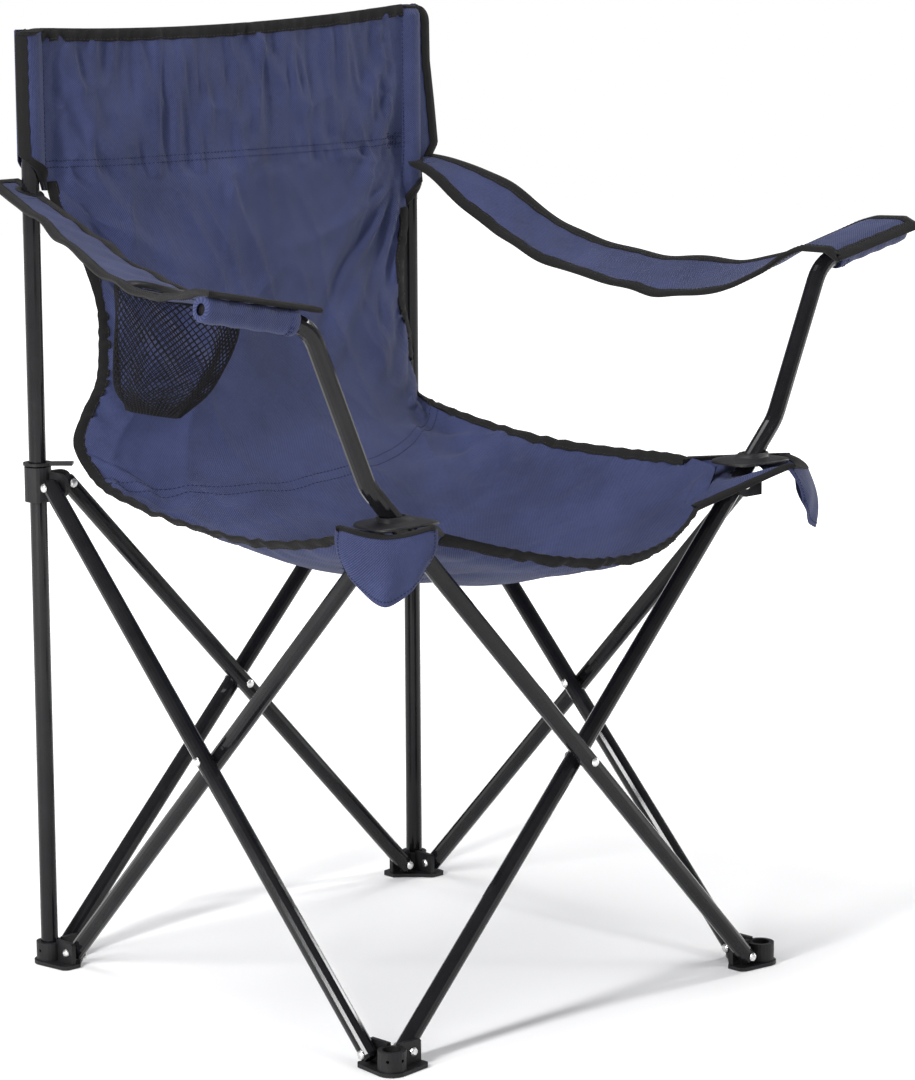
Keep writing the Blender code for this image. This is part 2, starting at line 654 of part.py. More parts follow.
# How far each armrest edge hangs below a straight line from the rear post to the arm post's
# sleeve, at even stations from rear to front: (inner edge, outer edge)
ARM_SAG = {LEFT: [(0.0, 0.0), (0.012, 0.010), (0.022, 0.017), (0.030, 0.022), (0.034, 0.026),
                  (0.033, 0.028), (0.028, 0.026), (0.017, 0.016), (0.0, 0.0)],
           RIGHT: [(0.0, 0.0), (0.007, 0.001), (0.041, 0.016), (0.064, 0.049), (0.073, 0.062),
                   (0.075, 0.062), (0.069, 0.056), (0.042, 0.032), (0.0, 0.0)]}
ARM_HEM_DROOP = 0.008       # front hem below the cloth over the sleeve, if it passes the sleeve


def armrest_reach(side):
    """Y of an armrest's rear end and front end, and where along it the sleeve starts and ends."""
    rear_y = CORNER + ARM_REAR_END
    front_y = -CORNER - ARM_FRONT_END
    clear = 1.2 * SLEEVE_R
    sleeve_start, sleeve_end = ((rear_y + arm_plane(side) - offset) / (rear_y - front_y)
                                for offset in (clear, -clear))
    return rear_y, front_y, sleeve_start, sleeve_end


def armrest_point(side, u, s):
    """u runs 0 to 1 from behind the rear post to the front hem, s from -1 (inner) to 1 (outer)."""
    top_x, top_z = arm_post_corner(2)
    rear_y, front_y, sleeve_start, sleeve_end = armrest_reach(side)
    half = lerp(ARM_REAR_HALF, ARM_FRONT_HALF, u)
    out = lerp(CORNER, arm_front_x(), u) + s * half
    front_z = top_z + ARM_OVER_TUBE + (arm_front_x() + s * half - top_x) / math.tan(TOP_LEAN)
    hang = min(1.0, u / sleeve_start)
    inner, outer = smooth_curve([Vector(pair) for pair in ARM_SAG[side]], hang)
    droop = ARM_HEM_DROOP * (u - sleeve_end) / (1 - sleeve_end) if u > sleeve_end else 0.0
    height = lerp(ARM_REAR_Z, front_z, hang) - lerp(inner, outer, (s + 1) / 2) - droop
    return Vector((side * out, MID_Y + lerp(rear_y, front_y, u), height))


def armrest_offset(side, u, x, y):
    """From the middle of an armrest at u to the point of its cloth (x, y) further on."""
    rear_y, front_y, _, _ = armrest_reach(side)
    there = u - y / (rear_y - front_y)
    across = side * (armrest_point(side, u, 0).x + x - armrest_point(side, there, 0).x)
    half = lerp(ARM_REAR_HALF, ARM_FRONT_HALF, there)
    return armrest_point(side, there, across / half) - armrest_point(side, u, 0)


def armrest_tilt(side, u):
    across = armrest_point(side, u, 1) - armrest_point(side, u, -1)
    along = armrest_point(side, u + 0.05, 0) - armrest_point(side, u - 0.05, 0)
    if side == RIGHT:
        across.negate()
    normal = along.cross(across).normalized()
    return normal if normal.z > 0 else -normal


def build_armrests():
    for side, name in ((LEFT, "left"), (RIGHT, "right")):
        _, _, sleeve_start, sleeve_end = armrest_reach(side)
        along = [sleeve_start * j / 15 for j in range(16)] + [min(sleeve_end, 0.99), 1.0]
        rows = [[armrest_point(side, u, -1 + i / 2) for i in range(5)] for u in along]
        post = cylinder(TUBE_R + 0.001, 0.5, 0.9, centre=(side * CORNER, MID_Y + CORNER))
        steps = [("DIFFERENCE", post)]
        if side == LEFT:
            centre = armrest_point(side, CUP_U, 0)
            steps.append(("DIFFERENCE", cylinder(CUP_R, 0.6, 0.8, centre=centre[:2], sides=24)))
        strip = combined(f"armrest_{name}", sheet(rows, CLOTH_T), steps)
        add(f"armrest_{name}", strip, NAVY_CLOTH)


def build_arm_sleeves():
    """Tunnels sewn under the armrests' front hems, round the ends of the arm posts."""
    inner = TUBE_R + GAP
    start = 0.020
    end = TOP_RUN - 0.004
    wall = cylinder(inner + SLEEVE_T, start, end, sides=24)
    tunnel = combined("arm_sleeve", wall,
                      [("DIFFERENCE", cylinder(inner, start - 0.01, end + 0.01, sides=24))])
    for side, name in ((LEFT, "left"), (RIGHT, "right")):
        out, height = arm_post_corner(2)
        place = (Matrix.Translation((side * out, MID_Y - arm_plane(side), height))
                 @ Matrix.Rotation(side * TOP_LEAN, 4, "Y"))
        add(f"arm_sleeve_{name}", tunnel, NAVY_CLOTH, place)


def build_cup_holder():
    centre = armrest_point(LEFT, CUP_U, 0)
    normal = armrest_tilt(LEFT, CUP_U)
    rim_t = 0.0025
    rim = outline_solid([arc((0, 0), CUP_R + CUP_RIM, 0, 348.75, 31),
                         arc((0, 0), CUP_R, 0, 348.75, 31)], 0, rim_t)
    under = [armrest_offset(LEFT, CUP_U, radius * math.cos(a), radius * math.sin(a)).dot(normal)
             for radius in (CUP_R, CUP_R + CUP_RIM) for a in (math.pi * k / 8 for k in range(16))]
    place = (Matrix.Translation(centre + normal * (max(under) + CLOTH_T / 2 + 2 * GAP))
             @ Vector((0, 0, 1)).rotation_difference(normal).to_matrix().to_4x4())
    add("cup_rim", rim, BLACK_PLASTIC, place)

    rows = []
    for depth, half_x, half_y, shift, follow in POCKET_RINGS:
        row = []
        for i in range(20):
            angle = 2 * math.pi * i / 20
            x = half_x * math.cos(angle)
            y = shift + half_y * math.sin(angle)
            row.append(Vector((x, y, follow * armrest_offset(LEFT, CUP_U, x, y).z - depth)))
        rows.append(row)
    add("cup_pocket", open_bag(rows, 0.0018), BLACK_MESH, Matrix.Translation(centre))


def open_bag(rings, thickness):
    """A bag from rings of points, top to bottom, closed at the bottom and open at the top."""
    bm = bmesh.new()
    grid = [[bm.verts.new(point) for point in ring] for ring in rings]
    for upper, lower in zip(grid, grid[1:]):
        for i in range(len(upper)):
            j = (i + 1) % len(upper)
            bm.faces.new((lower[i], lower[j], upper[j], upper[i]))
    bm.faces.new(list(reversed(grid[-1])))
    surface = tool("bag", mesh_of(bm, "bag"))
    thicken = surface.modifiers.new("thicken", "SOLIDIFY")
    thicken.thickness = thickness
    thicken.offset = -1.0
    mesh = evaluated_mesh(surface)
    bpy.data.objects.remove(surface, do_unlink=True)
    mesh.shade_smooth()
    mesh.set_sharp_from_angle(angle=math.radians(50))
    return mesh


def build_corner_plates():
    """Stiff plates at the seat's front corners, where the arm posts pass through."""
    for side, name in ((LEFT, "left"), (RIGHT, "right")):
        rise = PLATE_Z - HUB_Z
        through = PIVOT + rise * math.tan(LEAN)
        plane = -arm_plane(side)
        half_x, half_y = PLATE_HALF
        square = box((-half_x, -half_y, 0), (half_x, half_y, 0.0022))
        place = Matrix.Translation((side * through, MID_Y + plane, PLATE_Z))
        collar = cylinder(0.0125, 0.0004, 0.006, sides=24)
        tube_path = cylinder(TUBE_R + GAP, -0.05, 0.05, sides=24)
        tube_path.transform(Matrix.Rotation(side * LEAN, 4, "Y"))
        mesh = combined(f"corner_plate_{name}", square,
                        [("UNION", collar), ("DIFFERENCE", tube_path)])
        add(f"corner_plate_{name}", mesh, BLACK_PLASTIC, place)


def build_corner_flaps():
    """Cloth tongues that hang over the front hubs, facing out along the corner's diagonal."""
    rows = []
    for j in range(5):
        t = j / 4
        row = []
        for i in range(9):
            s = -1 + i / 4
            angle = math.radians(225 + FLAP_SPREAD * s * (1 - 0.25 * t))
            drop = FLAP_DROP * (1 - 0.45 * abs(s) ** 2.5) * t
            radius = FLAP_R + 0.006 * math.sin(math.pi * t)
            row.append(Vector((radius * math.cos(angle) + 0.010, radius * math.sin(angle) + 0.010,
                               FLAP_TOP - drop)))
        rows.append(row)
    flap = sheet(rows, SLEEVE_T)
    add("corner_flap_left", flap, NAVY_CLOTH, FRONT_LEFT)
    add("corner_flap_right", flap, NAVY_CLOTH, FRONT_RIGHT)


def set_origin(obj, point):
    """Move an object's origin to a world point on its joint axis; the shape stays in place."""
    shift = obj.matrix_world.inverted() @ Vector(point)
    if obj.data.users > 1:
        obj.data = obj.data.copy()
    obj.data.transform(Matrix.Translation(-shift))
    obj.matrix_world = obj.matrix_world @ Matrix.Translation(shift)


def put_origins_on_joints():
    hubs = {"slider_left": REAR_LEFT, "slider_right": REAR_RIGHT,
            "hub_left": FRONT_LEFT, "hub_right": FRONT_RIGHT}
    for name, corner in hubs.items():
        set_origin(bpy.data.objects[name], corner @ Vector((PIVOT_INSET, 0, HUB_Z)))
    feet = {"foot_front_left": (FRONT_LEFT, (0, PIVOT_INSET)),
            "foot_front_right": (FRONT_RIGHT, (0, PIVOT_INSET)),
            "foot_rear_right": (REAR_RIGHT, (PIVOT_INSET, 0))}
    for name, (corner, (x, y)) in feet.items():
        set_origin(bpy.data.objects[name], corner @ Vector((x, y, FOOT_Z)))
    set_origin(bpy.data.objects["seat_rear"], (0, MID_Y + SEAT_REAR_EDGE[0][1], SEAT_REAR_EDGE[0][2]))
    set_origin(bpy.data.objects["seat_front"], (0, MID_Y + SEAT_FRONT_EDGE[-1][1],
                                                SEAT_FRONT_EDGE[-1][2]))
    for side, name in ((LEFT, "left"), (RIGHT, "right")):
        set_origin(bpy.data.objects[f"armrest_{name}"],
                   (side * CORNER, MID_Y + CORNER, ARM_REAR_Z))


def main():
    global CHAIR, CUTTERS
    clear_scene()
    CHAIR = new_collection("folding_camp_chair")
    CUTTERS = new_collection("cutters")
    build_tubes()
    build_rear_posts()
    build_feet()
    build_sliders_and_hubs()
    build_seat_hooks()
    build_rivets()
    build_back_panel()
    build_seat()
    build_armrests()
    build_arm_sleeves()
    build_cup_holder()
    build_corner_plates()
    build_corner_flaps()
    put_origins_on_joints()


main()
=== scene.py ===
"""Looks of the folding camp chair: slung cloth, bindings, stitching, cup holder and finishes.

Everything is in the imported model's own frame: metres, +Z up, the front of the chair toward -Y.
Places are worked out from the rear posts, the sliders and the arm posts of that model.
"""
import math

import bmesh
import bpy
import numpy as np
from mathutils import Matrix, Vector


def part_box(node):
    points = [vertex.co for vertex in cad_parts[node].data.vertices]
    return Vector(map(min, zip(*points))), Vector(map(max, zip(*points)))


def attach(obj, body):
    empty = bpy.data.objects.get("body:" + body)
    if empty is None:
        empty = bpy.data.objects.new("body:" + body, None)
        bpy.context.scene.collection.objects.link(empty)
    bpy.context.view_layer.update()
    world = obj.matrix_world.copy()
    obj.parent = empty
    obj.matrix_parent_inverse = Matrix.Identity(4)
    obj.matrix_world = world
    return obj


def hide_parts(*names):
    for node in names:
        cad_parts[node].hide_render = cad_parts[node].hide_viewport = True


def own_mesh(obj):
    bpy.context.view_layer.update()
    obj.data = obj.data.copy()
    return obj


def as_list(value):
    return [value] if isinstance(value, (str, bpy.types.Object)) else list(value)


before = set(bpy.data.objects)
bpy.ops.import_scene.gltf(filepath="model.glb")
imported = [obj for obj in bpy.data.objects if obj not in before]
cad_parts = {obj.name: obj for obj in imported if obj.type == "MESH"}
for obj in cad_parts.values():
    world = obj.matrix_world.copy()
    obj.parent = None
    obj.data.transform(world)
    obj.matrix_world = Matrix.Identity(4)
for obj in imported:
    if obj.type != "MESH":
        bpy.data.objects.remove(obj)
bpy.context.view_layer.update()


def middle(node):
    low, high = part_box(node)
    return (Vector(low) + Vector(high)) / 2


# The frame that the cloth hangs on
CORNER = middle("rear_post_right").x
MID_Y = middle("rear_post_right").y - CORNER
HUB_Z = middle("slider_left").z
POST_TOP = Vector(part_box("rear_post_left")[1]).z
POST_Y = MID_Y + CORNER
TUBE_R = 0.008
SLEEVE_R = 0.0105           # outside of the cloth sleeves over the tubes

CLOTH_T = 0.0014
HEM_Z = POST_TOP - 0.112    # double stitched seam under the head band
HEM_GAP = 0.006             # between its two rows of stitches
TAPE_W = 0.0105             # binding tape folded over the edges
TAPE_T = 0.0009
TAPE_SEAM = TAPE_W - 0.002  # its row of stitches, from the cloth's edge

SCENE = bpy.context.scene
RNG = np.random.default_rng(7)


# Materials

def shader_material(name, colour, roughness, metallic=0.0):
    """A new material and its Principled shader; constants are set on the shader's own sockets."""
    mat = bpy.data.materials.new(name)
    mat.use_nodes = True
    shader = mat.node_tree.nodes["Principled BSDF"]
    shader.inputs["Base Color"].default_value = (*colour, 1.0)
    shader.inputs["Roughness"].default_value = roughness
    shader.inputs["Metallic"].default_value = metallic
    mat.diffuse_color = (*colour, 1.0)
    return mat, shader


class Nodes:
    """Short calls for building one material's node tree."""

    def __init__(self, mat):
        self.tree = mat.node_tree

    def new(self, kind, **settings):
        node = self.tree.nodes.new(kind)
        for key, value in settings.items():
            setattr(node, key, value)
        return node

    def link(self, output, target):
        self.tree.links.new(output, target)

    def coordinates(self, kind, scale=(1, 1, 1)):
        source = self.new("ShaderNodeTexCoord")
        mapping = self.new("ShaderNodeMapping")
        mapping.inputs["Scale"].default_value = scale
        self.link(source.outputs[kind], mapping.inputs["Vector"])
        return mapping.outputs["Vector"]

    def noise(self, vector, scale, detail=3.0, roughness=0.5):
        node = self.new("ShaderNodeTexNoise")
        node.inputs["Scale"].default_value = scale
        node.inputs["Detail"].default_value = detail
        node.inputs["Roughness"].default_value = roughness
        self.link(vector, node.inputs["Vector"])
        return node.outputs["Fac"]

    def wave(self, vector, scale, direction, distortion=0.0):
        node = self.new("ShaderNodeTexWave", wave_type="BANDS", bands_direction=direction)
        node.inputs["Scale"].default_value = scale
        node.inputs["Distortion"].default_value = distortion
        node.inputs["Detail"].default_value = 1.0
        self.link(vector, node.inputs["Vector"])
        return node.outputs["Fac"]

    def math(self, operation, a, b):
        node = self.new("ShaderNodeMath", operation=operation)
        for place, value in enumerate((a, b)):
            if isinstance(value, (int, float)):
                node.inputs[place].default_value = value
            else:
                self.link(value, node.inputs[place])
        return node.outputs["Value"]

    def ramp(self, factor, stops):
        node = self.new("ShaderNodeValToRGB")
        elements = node.color_ramp.elements
        while len(elements) < len(stops):
            elements.new(0.5)
        for element, (place, colour) in zip(elements, stops):
            element.position = place
            element.color = (*colour, 1.0)
        self.link(factor, node.inputs["Fac"])
        return node.outputs["Color"]

    def range(self, factor, low, high, source=(0.0, 1.0)):
        node = self.new("ShaderNodeMapRange")
        node.inputs["From Min"].default_value = source[0]
        node.inputs["From Max"].default_value = source[1]
        node.inputs["To Min"].default_value = low
        node.inputs["To Max"].default_value = high
        self.link(factor, node.inputs["Value"])
        return node.outputs["Result"]

    def surface(self, shader, shade, stops, dull, dullness, normal):
        """Link a shade's colours, a field's roughness and a bumped normal to a shader."""
        self.link(self.ramp(shade, stops), shader.inputs["Base Color"])
        self.link(self.range(dull, *dullness), shader.inputs["Roughness"])
        self.link(normal, shader.inputs["Normal"])

    def bump(self, height, strength, distance, normal=None):
        node = self.new("ShaderNodeBump")
        node.inputs["Strength"].default_value = strength
        node.inputs["Distance"].default_value = distance
        self.link(height, node.inputs["Height"])
        if normal is not None:
            self.link(normal, node.inputs["Normal"])
        return node.outputs["Normal"]


def twill(name, deep, mid, light, roughness=0.72):
    """Polyester twill: diagonal ribs of a millimetre over plain threads, with soft mottling."""
    mat, shader = shader_material(name, mid, roughness)
    nodes = Nodes(mat)
    cloth = nodes.coordinates("UV")
    ribs = nodes.wave(cloth, 310.0, "DIAGONAL", 0.8)
    threads = nodes.wave(cloth, 270.0, "X", 0.9)
    mottle = nodes.noise(cloth, 11.0, 5.0, 0.62)
    slubs = nodes.noise(nodes.coordinates("UV", (900, 240, 1)), 1.0, 2.0)
    weave = nodes.math("ADD", nodes.math("MULTIPLY", ribs, 0.55),
                       nodes.math("MULTIPLY", slubs, 0.45))
    shade = nodes.math("ADD", nodes.math("MULTIPLY", weave, 0.50),
                       nodes.math("MULTIPLY", mottle, 0.50))
    height = nodes.math("ADD", ribs, nodes.math("MULTIPLY", threads, 0.5))
    fine = nodes.bump(height, 0.55, 0.0005)
    creases = nodes.noise(cloth, 38.0, 3.0, 0.55)
    nodes.surface(shader, shade, ((0.30, deep), (0.50, mid), (0.70, light)), mottle,
                  (roughness - 0.06, roughness + 0.08), nodes.bump(creases, 0.22, 0.006, fine))
    shader.inputs["Sheen Weight"].default_value = 0.06
    shader.inputs["Sheen Roughness"].default_value = 0.4
    shader.inputs["Specular IOR Level"].default_value = 0.25
    return mat


def tape(name, colour, light):
    """Woven binding tape: ribs across its length, slightly fuzzy."""
    mat, shader = shader_material(name, colour, 0.86)
    nodes = Nodes(mat)
    strip = nodes.coordinates("UV")
    ribs = nodes.wave(strip, 330.0, "X", 0.5)
    fuzz = nodes.noise(strip, 1400.0, 2.0)
    shade = nodes.math("ADD", nodes.math("MULTIPLY", ribs, 0.5), nodes.math("MULTIPLY", fuzz, 0.5))
    nodes.surface(shader, shade, ((0.25, colour), (0.8, light)), fuzz, (0.78, 0.94),
                  nodes.bump(shade, 0.5, 0.0005))
    shader.inputs["Sheen Weight"].default_value = 0.03
    shader.inputs["Specular IOR Level"].default_value = 0.15
    return mat


def coated_steel(name):
    """Gloss black powder coat: fine orange peel, faint dust, lighter rubbed spots."""
    mat, shader = shader_material(name, (0.008, 0.008, 0.009), 0.14)
    nodes = Nodes(mat)
    body = nodes.coordinates("Object")
    peel = nodes.noise(body, 850.0, 2.0)
    dust = nodes.noise(body, 26.0, 5.0, 0.65)
    colours = ((0.35, (0.006, 0.006, 0.007)), (0.62, (0.009, 0.009, 0.010)),
               (0.85, (0.018, 0.018, 0.020)))
    nodes.surface(shader, dust, colours, dust, (0.06, 0.15), nodes.bump(peel, 0.04, 0.0002))
    shader.inputs["Specular IOR Level"].default_value = 0.22
    return mat


def moulded_plastic(name):
    """Black moulded nylon with a fine grain and scuffed, greyer patches."""
    mat, shader = shader_material(name, (0.016, 0.016, 0.017), 0.48)
    nodes = Nodes(mat)
    body = nodes.coordinates("Object")
    grain = nodes.noise(body, 1500.0, 2.0)
    scuff = nodes.noise(body, 60.0, 5.0, 0.7)
    colours = ((0.40, (0.008, 0.008, 0.009)), (0.66, (0.014, 0.014, 0.015)),
               (0.82, (0.032, 0.032, 0.034)))
    nodes.surface(shader, scuff, colours, scuff, (0.38, 0.62), nodes.bump(grain, 0.12, 0.0003))
    shader.inputs["Specular IOR Level"].default_value = 0.25
    return mat


def zinc(name):
    """Bright zinc plate: light brushing and dull spots."""
    mat, shader = shader_material(name, (0.74, 0.74, 0.72), 0.28, 1.0)
    nodes = Nodes(mat)
    body = nodes.coordinates("Object")
    spots = nodes.noise(body, 420.0, 4.0, 0.6)
    nodes.surface(shader, spots, ((0.3, (0.58, 0.58, 0.57)), (0.7, (0.80, 0.80, 0.78))), spots,
                  (0.20, 0.42), nodes.bump(spots, 0.10, 0.0002))
    return mat


def netting(name):
    """Black polyester net yarn."""
    mat, shader = shader_material(name, (0.013, 0.013, 0.015), 0.70)
    nodes = Nodes(mat)
    yarn = nodes.noise(nodes.coordinates("Object"), 1800.0, 2.0)
    nodes.surface(shader, yarn, ((0.3, (0.004, 0.004, 0.005)), (0.8, (0.016, 0.016, 0.018))), yarn,
                  (0.6, 0.85), nodes.bump(yarn, 0.3, 0.0003))
    shader.inputs["Specular IOR Level"].default_value = 0.1
    return mat


NAVY = twill("navy_twill", (0.011, 0.015, 0.045), (0.023, 0.030, 0.085), (0.042, 0.054, 0.138))
TAPE = tape("black_tape", (0.0035, 0.0032, 0.0033), (0.013, 0.012, 0.012))
THREAD_NAVY = tape("navy_thread", (0.006, 0.008, 0.026), (0.020, 0.027, 0.075))
THREAD_BLACK = tape("black_thread", (0.010, 0.010, 0.011), (0.030, 0.029, 0.030))
COAT = coated_steel("black_powder_coat")
PLASTIC = moulded_plastic("black_nylon")
ZINC = zinc("bright_zinc")
NET = netting("black_net")


# Cloth sheets as grids of points

def smooth_stations(table, t):
    """Catmull-Rom through evenly spaced rows of a table, at each t from 0 to 1."""
    table = np.asarray(table, float)
    last = len(table) - 1
    place = np.clip(t, 0, 1) * last
    i = np.minimum(place.astype(int), last - 1)
    f = (place - i)[:, None]
    p0, p1 = table[np.maximum(i - 1, 0)], table[i]
    p2, p3 = table[i + 1], table[np.minimum(i + 2, last)]
    return 0.5 * (2 * p1 + (p2 - p0) * f + (2 * p0 - 5 * p1 + 4 * p2 - p3) * f * f
                  + (3 * p1 - p0 - 3 * p2 + p3) * f ** 3)


def surface_normals(grid):
    """Unit normals of a grid of points (rows, columns, 3)."""
    across = np.gradient(grid, axis=1)
    along = np.gradient(grid, axis=0)
    normal = np.cross(along, across)
    return normal / np.maximum(np.linalg.norm(normal, axis=2, keepdims=True), 1e-12)


def refine(grid):
    """Twice as fine a grid, by cubic interpolation along both ways."""
    for axis in (0, 1):
        grid = np.moveaxis(grid, axis, 0)
        fine = smooth_stations(grid.reshape(len(grid), -1), np.linspace(0, 1, 2 * len(grid) - 1))
        grid = np.moveaxis(fine.reshape(len(fine), *grid.shape[1:]), 0, axis)
    return grid


def run_lengths(points):
    """Distance along a line of points, from its start to each point."""
    return np.concatenate(([0.0], np.cumsum(np.linalg.norm(np.diff(points, axis=0), axis=1))))


def arc_lengths(grid, axis):
    """Distance along the grid's lines on one axis, averaged over the other."""
    steps = np.linalg.norm(np.diff(grid, axis=axis), axis=2).mean(axis=1 - axis)
    return np.concatenate(([0.0], np.cumsum(steps)))


def placed(name, data):
    """A new object in the scene."""
    obj = bpy.data.objects.new(name, data)
    SCENE.collection.objects.link(obj)
    return obj


def mesh_from(bm, name):
    """A mesh with what the bmesh holds."""
    mesh = bpy.data.meshes.new(name)
    bm.to_mesh(mesh)
    bm.free()
    return mesh


def new_piece(name, mesh, material):
    obj = placed(name, mesh)
    mesh.materials.append(material)
    return obj


def cloth_piece(name, mesh, material):
    """A piece of cloth, or tape or thread sewn to it."""
    return new_piece(name, mesh, material)


def sheet_mesh(name, grid, normals, thickness, uv_start=(0.0, 0.0), hole=None):
    """A closed sheet about the grid, with a UV map in metres; hole(row, column) skips a cell."""
    rows, columns = grid.shape[:2]
    face_up = grid + normals * thickness / 2
    face_down = grid - normals * thickness / 2
    u = arc_lengths(grid, 1) + uv_start[0]
    v = arc_lengths(grid, 0) + uv_start[1]
    bm = bmesh.new()
    layer = bm.loops.layers.uv.new("UVMap")
    top = [[bm.verts.new(p) for p in row] for row in face_up]
    low = [[bm.verts.new(p) for p in row] for row in face_down]
    where = {}
    for j in range(rows):
        for i in range(columns):
            where[top[j][i]] = where[low[j][i]] = (u[i], v[j])
    kept = {(j, i) for j in range(rows - 1) for i in range(columns - 1)
            if hole is None or not hole(j, i)}
    for j, i in sorted(kept):
        corners = ((j, i), (j + 1, i), (j + 1, i + 1), (j, i + 1))
        bm.faces.new([top[a][b] for a, b in corners])
        bm.faces.new([low[a][b] for a, b in reversed(corners)])
        for k, beyond in enumerate(((j, i - 1), (j + 1, i), (j, i + 1), (j - 1, i))):
            if beyond not in kept:
                (a, b), (c, d) = corners[k], corners[(k + 1) % 4]
                bm.faces.new((top[c][d], top[a][b], low[a][b], low[c][d]))
    for face in bm.faces:
        face.smooth = True
        for loop in face.loops:
            loop[layer].uv = where[loop.vert]
    bmesh.ops.delete(bm, geom=[vert for vert in bm.verts if not vert.link_faces], context="VERTS")
    return mesh_from(bm, name)


def keep_shading(piece, normals):
    """Shade the sheet by the whole cloth's normals, so that a cut between pieces doesn't show."""
    mesh = piece.data
    count = normals.shape[0] * normals.shape[1]
    flat = normals.reshape(-1, 3)
    custom = np.zeros((len(mesh.vertices), 3))
    custom[:count] = flat
    custom[count:2 * count] = -flat
    if len(mesh.vertices) == 2 * count:
        mesh.normals_split_custom_set_from_vertices(custom.tolist())


SECTION_UV = 0.03           # girth of a swept section and its closing step on the UV map
CLOSING_UV = 0.004


def swept_mesh(name, rings, closed):
    """A closed skin over rings of points; the path may close on itself."""
    rings = np.asarray(rings, float)
    count, sides = rings.shape[:2]
    length = run_lengths(rings.mean(axis=1))
    girth = np.linspace(0, 1, sides + 1) * SECTION_UV
    bm = bmesh.new()
    layer = bm.loops.layers.uv.new("UVMap")
    verts = [[bm.verts.new(p) for p in ring] for ring in rings]
    steps = count if closed else count - 1
    for j in range(steps):
        n = (j + 1) % count
        for i in range(sides):
            k = (i + 1) % sides
            face = bm.faces.new((verts[j][i], verts[j][k], verts[n][k], verts[n][i]))
            face.smooth = True
            far = length[n] if n else length[-1] + CLOSING_UV
            for loop, uv in zip(face.loops, ((length[j], girth[i]), (length[j], girth[i + 1]),
                                             (far, girth[i + 1]), (far, girth[i]))):
                loop[layer].uv = uv
    if not closed:
        bm.faces.new(list(reversed(verts[0])))
        bm.faces.new(verts[-1])
    bmesh.ops.recalc_face_normals(bm, faces=bm.faces)
    mesh = mesh_from(bm, name)
    mesh.set_sharp_from_angle(angle=math.radians(60))
    return mesh


def unit(v):
    return v / np.maximum(np.linalg.norm(v, axis=-1, keepdims=True), 1e-12)


def binding_mesh(name, edge, inward, normals, cloth_t, width=TAPE_W, share=None):
    """Tape folded over a cloth edge: a flat closed section swept along the edge's points."""
    half = cloth_t / 2 + TAPE_T
    pull = np.sin(np.arange(len(edge)) * 0.9) * 0.0004
    profile = ((width, half * 0.85), (width * 0.55, half * 1.15), (0.0, half * 0.95),
               (-0.0014, 0.0), (0.0, -half * 0.95), (width * 0.55, -half * 1.15),
               (width, -half * 0.85))
    rings = []
    narrow = np.broadcast_to(1.0 if share is None else share, len(edge))
    for point, toward, normal, extra, part in zip(edge, inward, normals, pull, narrow):
        rings.append([point + toward * (w + (extra if w > 0.004 else 0)) * part + normal * h
                      for w, h in profile])
    return swept_mesh(name, rings, False)


def edge_run(grid, normals, side):
    """Points, inward directions and normals along one side of a grid."""
    if side == "left":
        points, inner, n = grid[:, 0], grid[:, 1], normals[:, 0]
    elif side == "right":
        points, inner, n = grid[:, -1], grid[:, -2], normals[:, -1]
    elif side == "start":
        points, inner, n = grid[0], grid[1], normals[0]
    else:
        points, inner, n = grid[-1], grid[-2], normals[-1]
    return points, unit(inner - points), n


def joined_runs(runs):
    """Several edge runs end to end, with mitred directions where they meet."""
    points, inward, normals = [], [], []
    for run_points, run_in, run_n in runs:
        if len(points):
            inward[-1] = unit(inward[-1] + run_in[0])
            run_points, run_in, run_n = run_points[1:], run_in[1:], run_n[1:]
        points.extend(run_points)
        inward.extend(run_in)
        normals.extend(run_n)
    return np.array(points), np.array(inward), np.array(normals)


def stitch_mesh(name, lines, pitch=0.0042, length=0.0030, radius=0.00052):
    """Sewing thread along lines of (points, normals): one small rounded dash for each stitch."""
    bm = bmesh.new()
    for points, normals in lines:
        steps = run_lengths(points)
        for start in np.arange(pitch / 2, steps[-1] - length, pitch):
            ends = []
            for place in (start, start + length / 2, start + length):
                p = np.array([np.interp(place, steps, points[:, k]) for k in range(3)])
                n = np.array([np.interp(place, steps, normals[:, k]) for k in range(3)])
                ends.append((p, n / np.linalg.norm(n)))
            along = unit(ends[2][0] - ends[0][0])
            rings = []
            for (p, n), sink in zip(ends, (-0.6, 0.55, -0.6)):
                side = np.cross(n, along)
                centre = p + n * radius * sink
                rings.append([bm.verts.new(centre + radius * (math.cos(a) * side
                                                              + 0.8 * math.sin(a) * n))
                              for a in (math.pi * k / 3 for k in range(6))])
            for a, b in zip(rings, rings[1:]):
                for k in range(6):
                    bm.faces.new((a[k], a[(k + 1) % 6], b[(k + 1) % 6], b[k])).smooth = True
            bm.faces.new(list(reversed(rings[0])))
            bm.faces.new(rings[-1])
    bmesh.ops.recalc_face_normals(bm, faces=bm.faces)
    mesh = mesh_from(bm, name)
    mesh.uv_layers.new(name="UVMap")
    return mesh


SETTLING = {
    "quality": 6, "mass": 0.25, "tension_stiffness": 40, "compression_stiffness": 40,
    "shear_stiffness": 12, "bending_stiffness": 0.25, "tension_damping": 12,
    "compression_damping": 12, "shear_damping": 8, "air_damping": 3, "vertex_group_mass": "pinned",
}


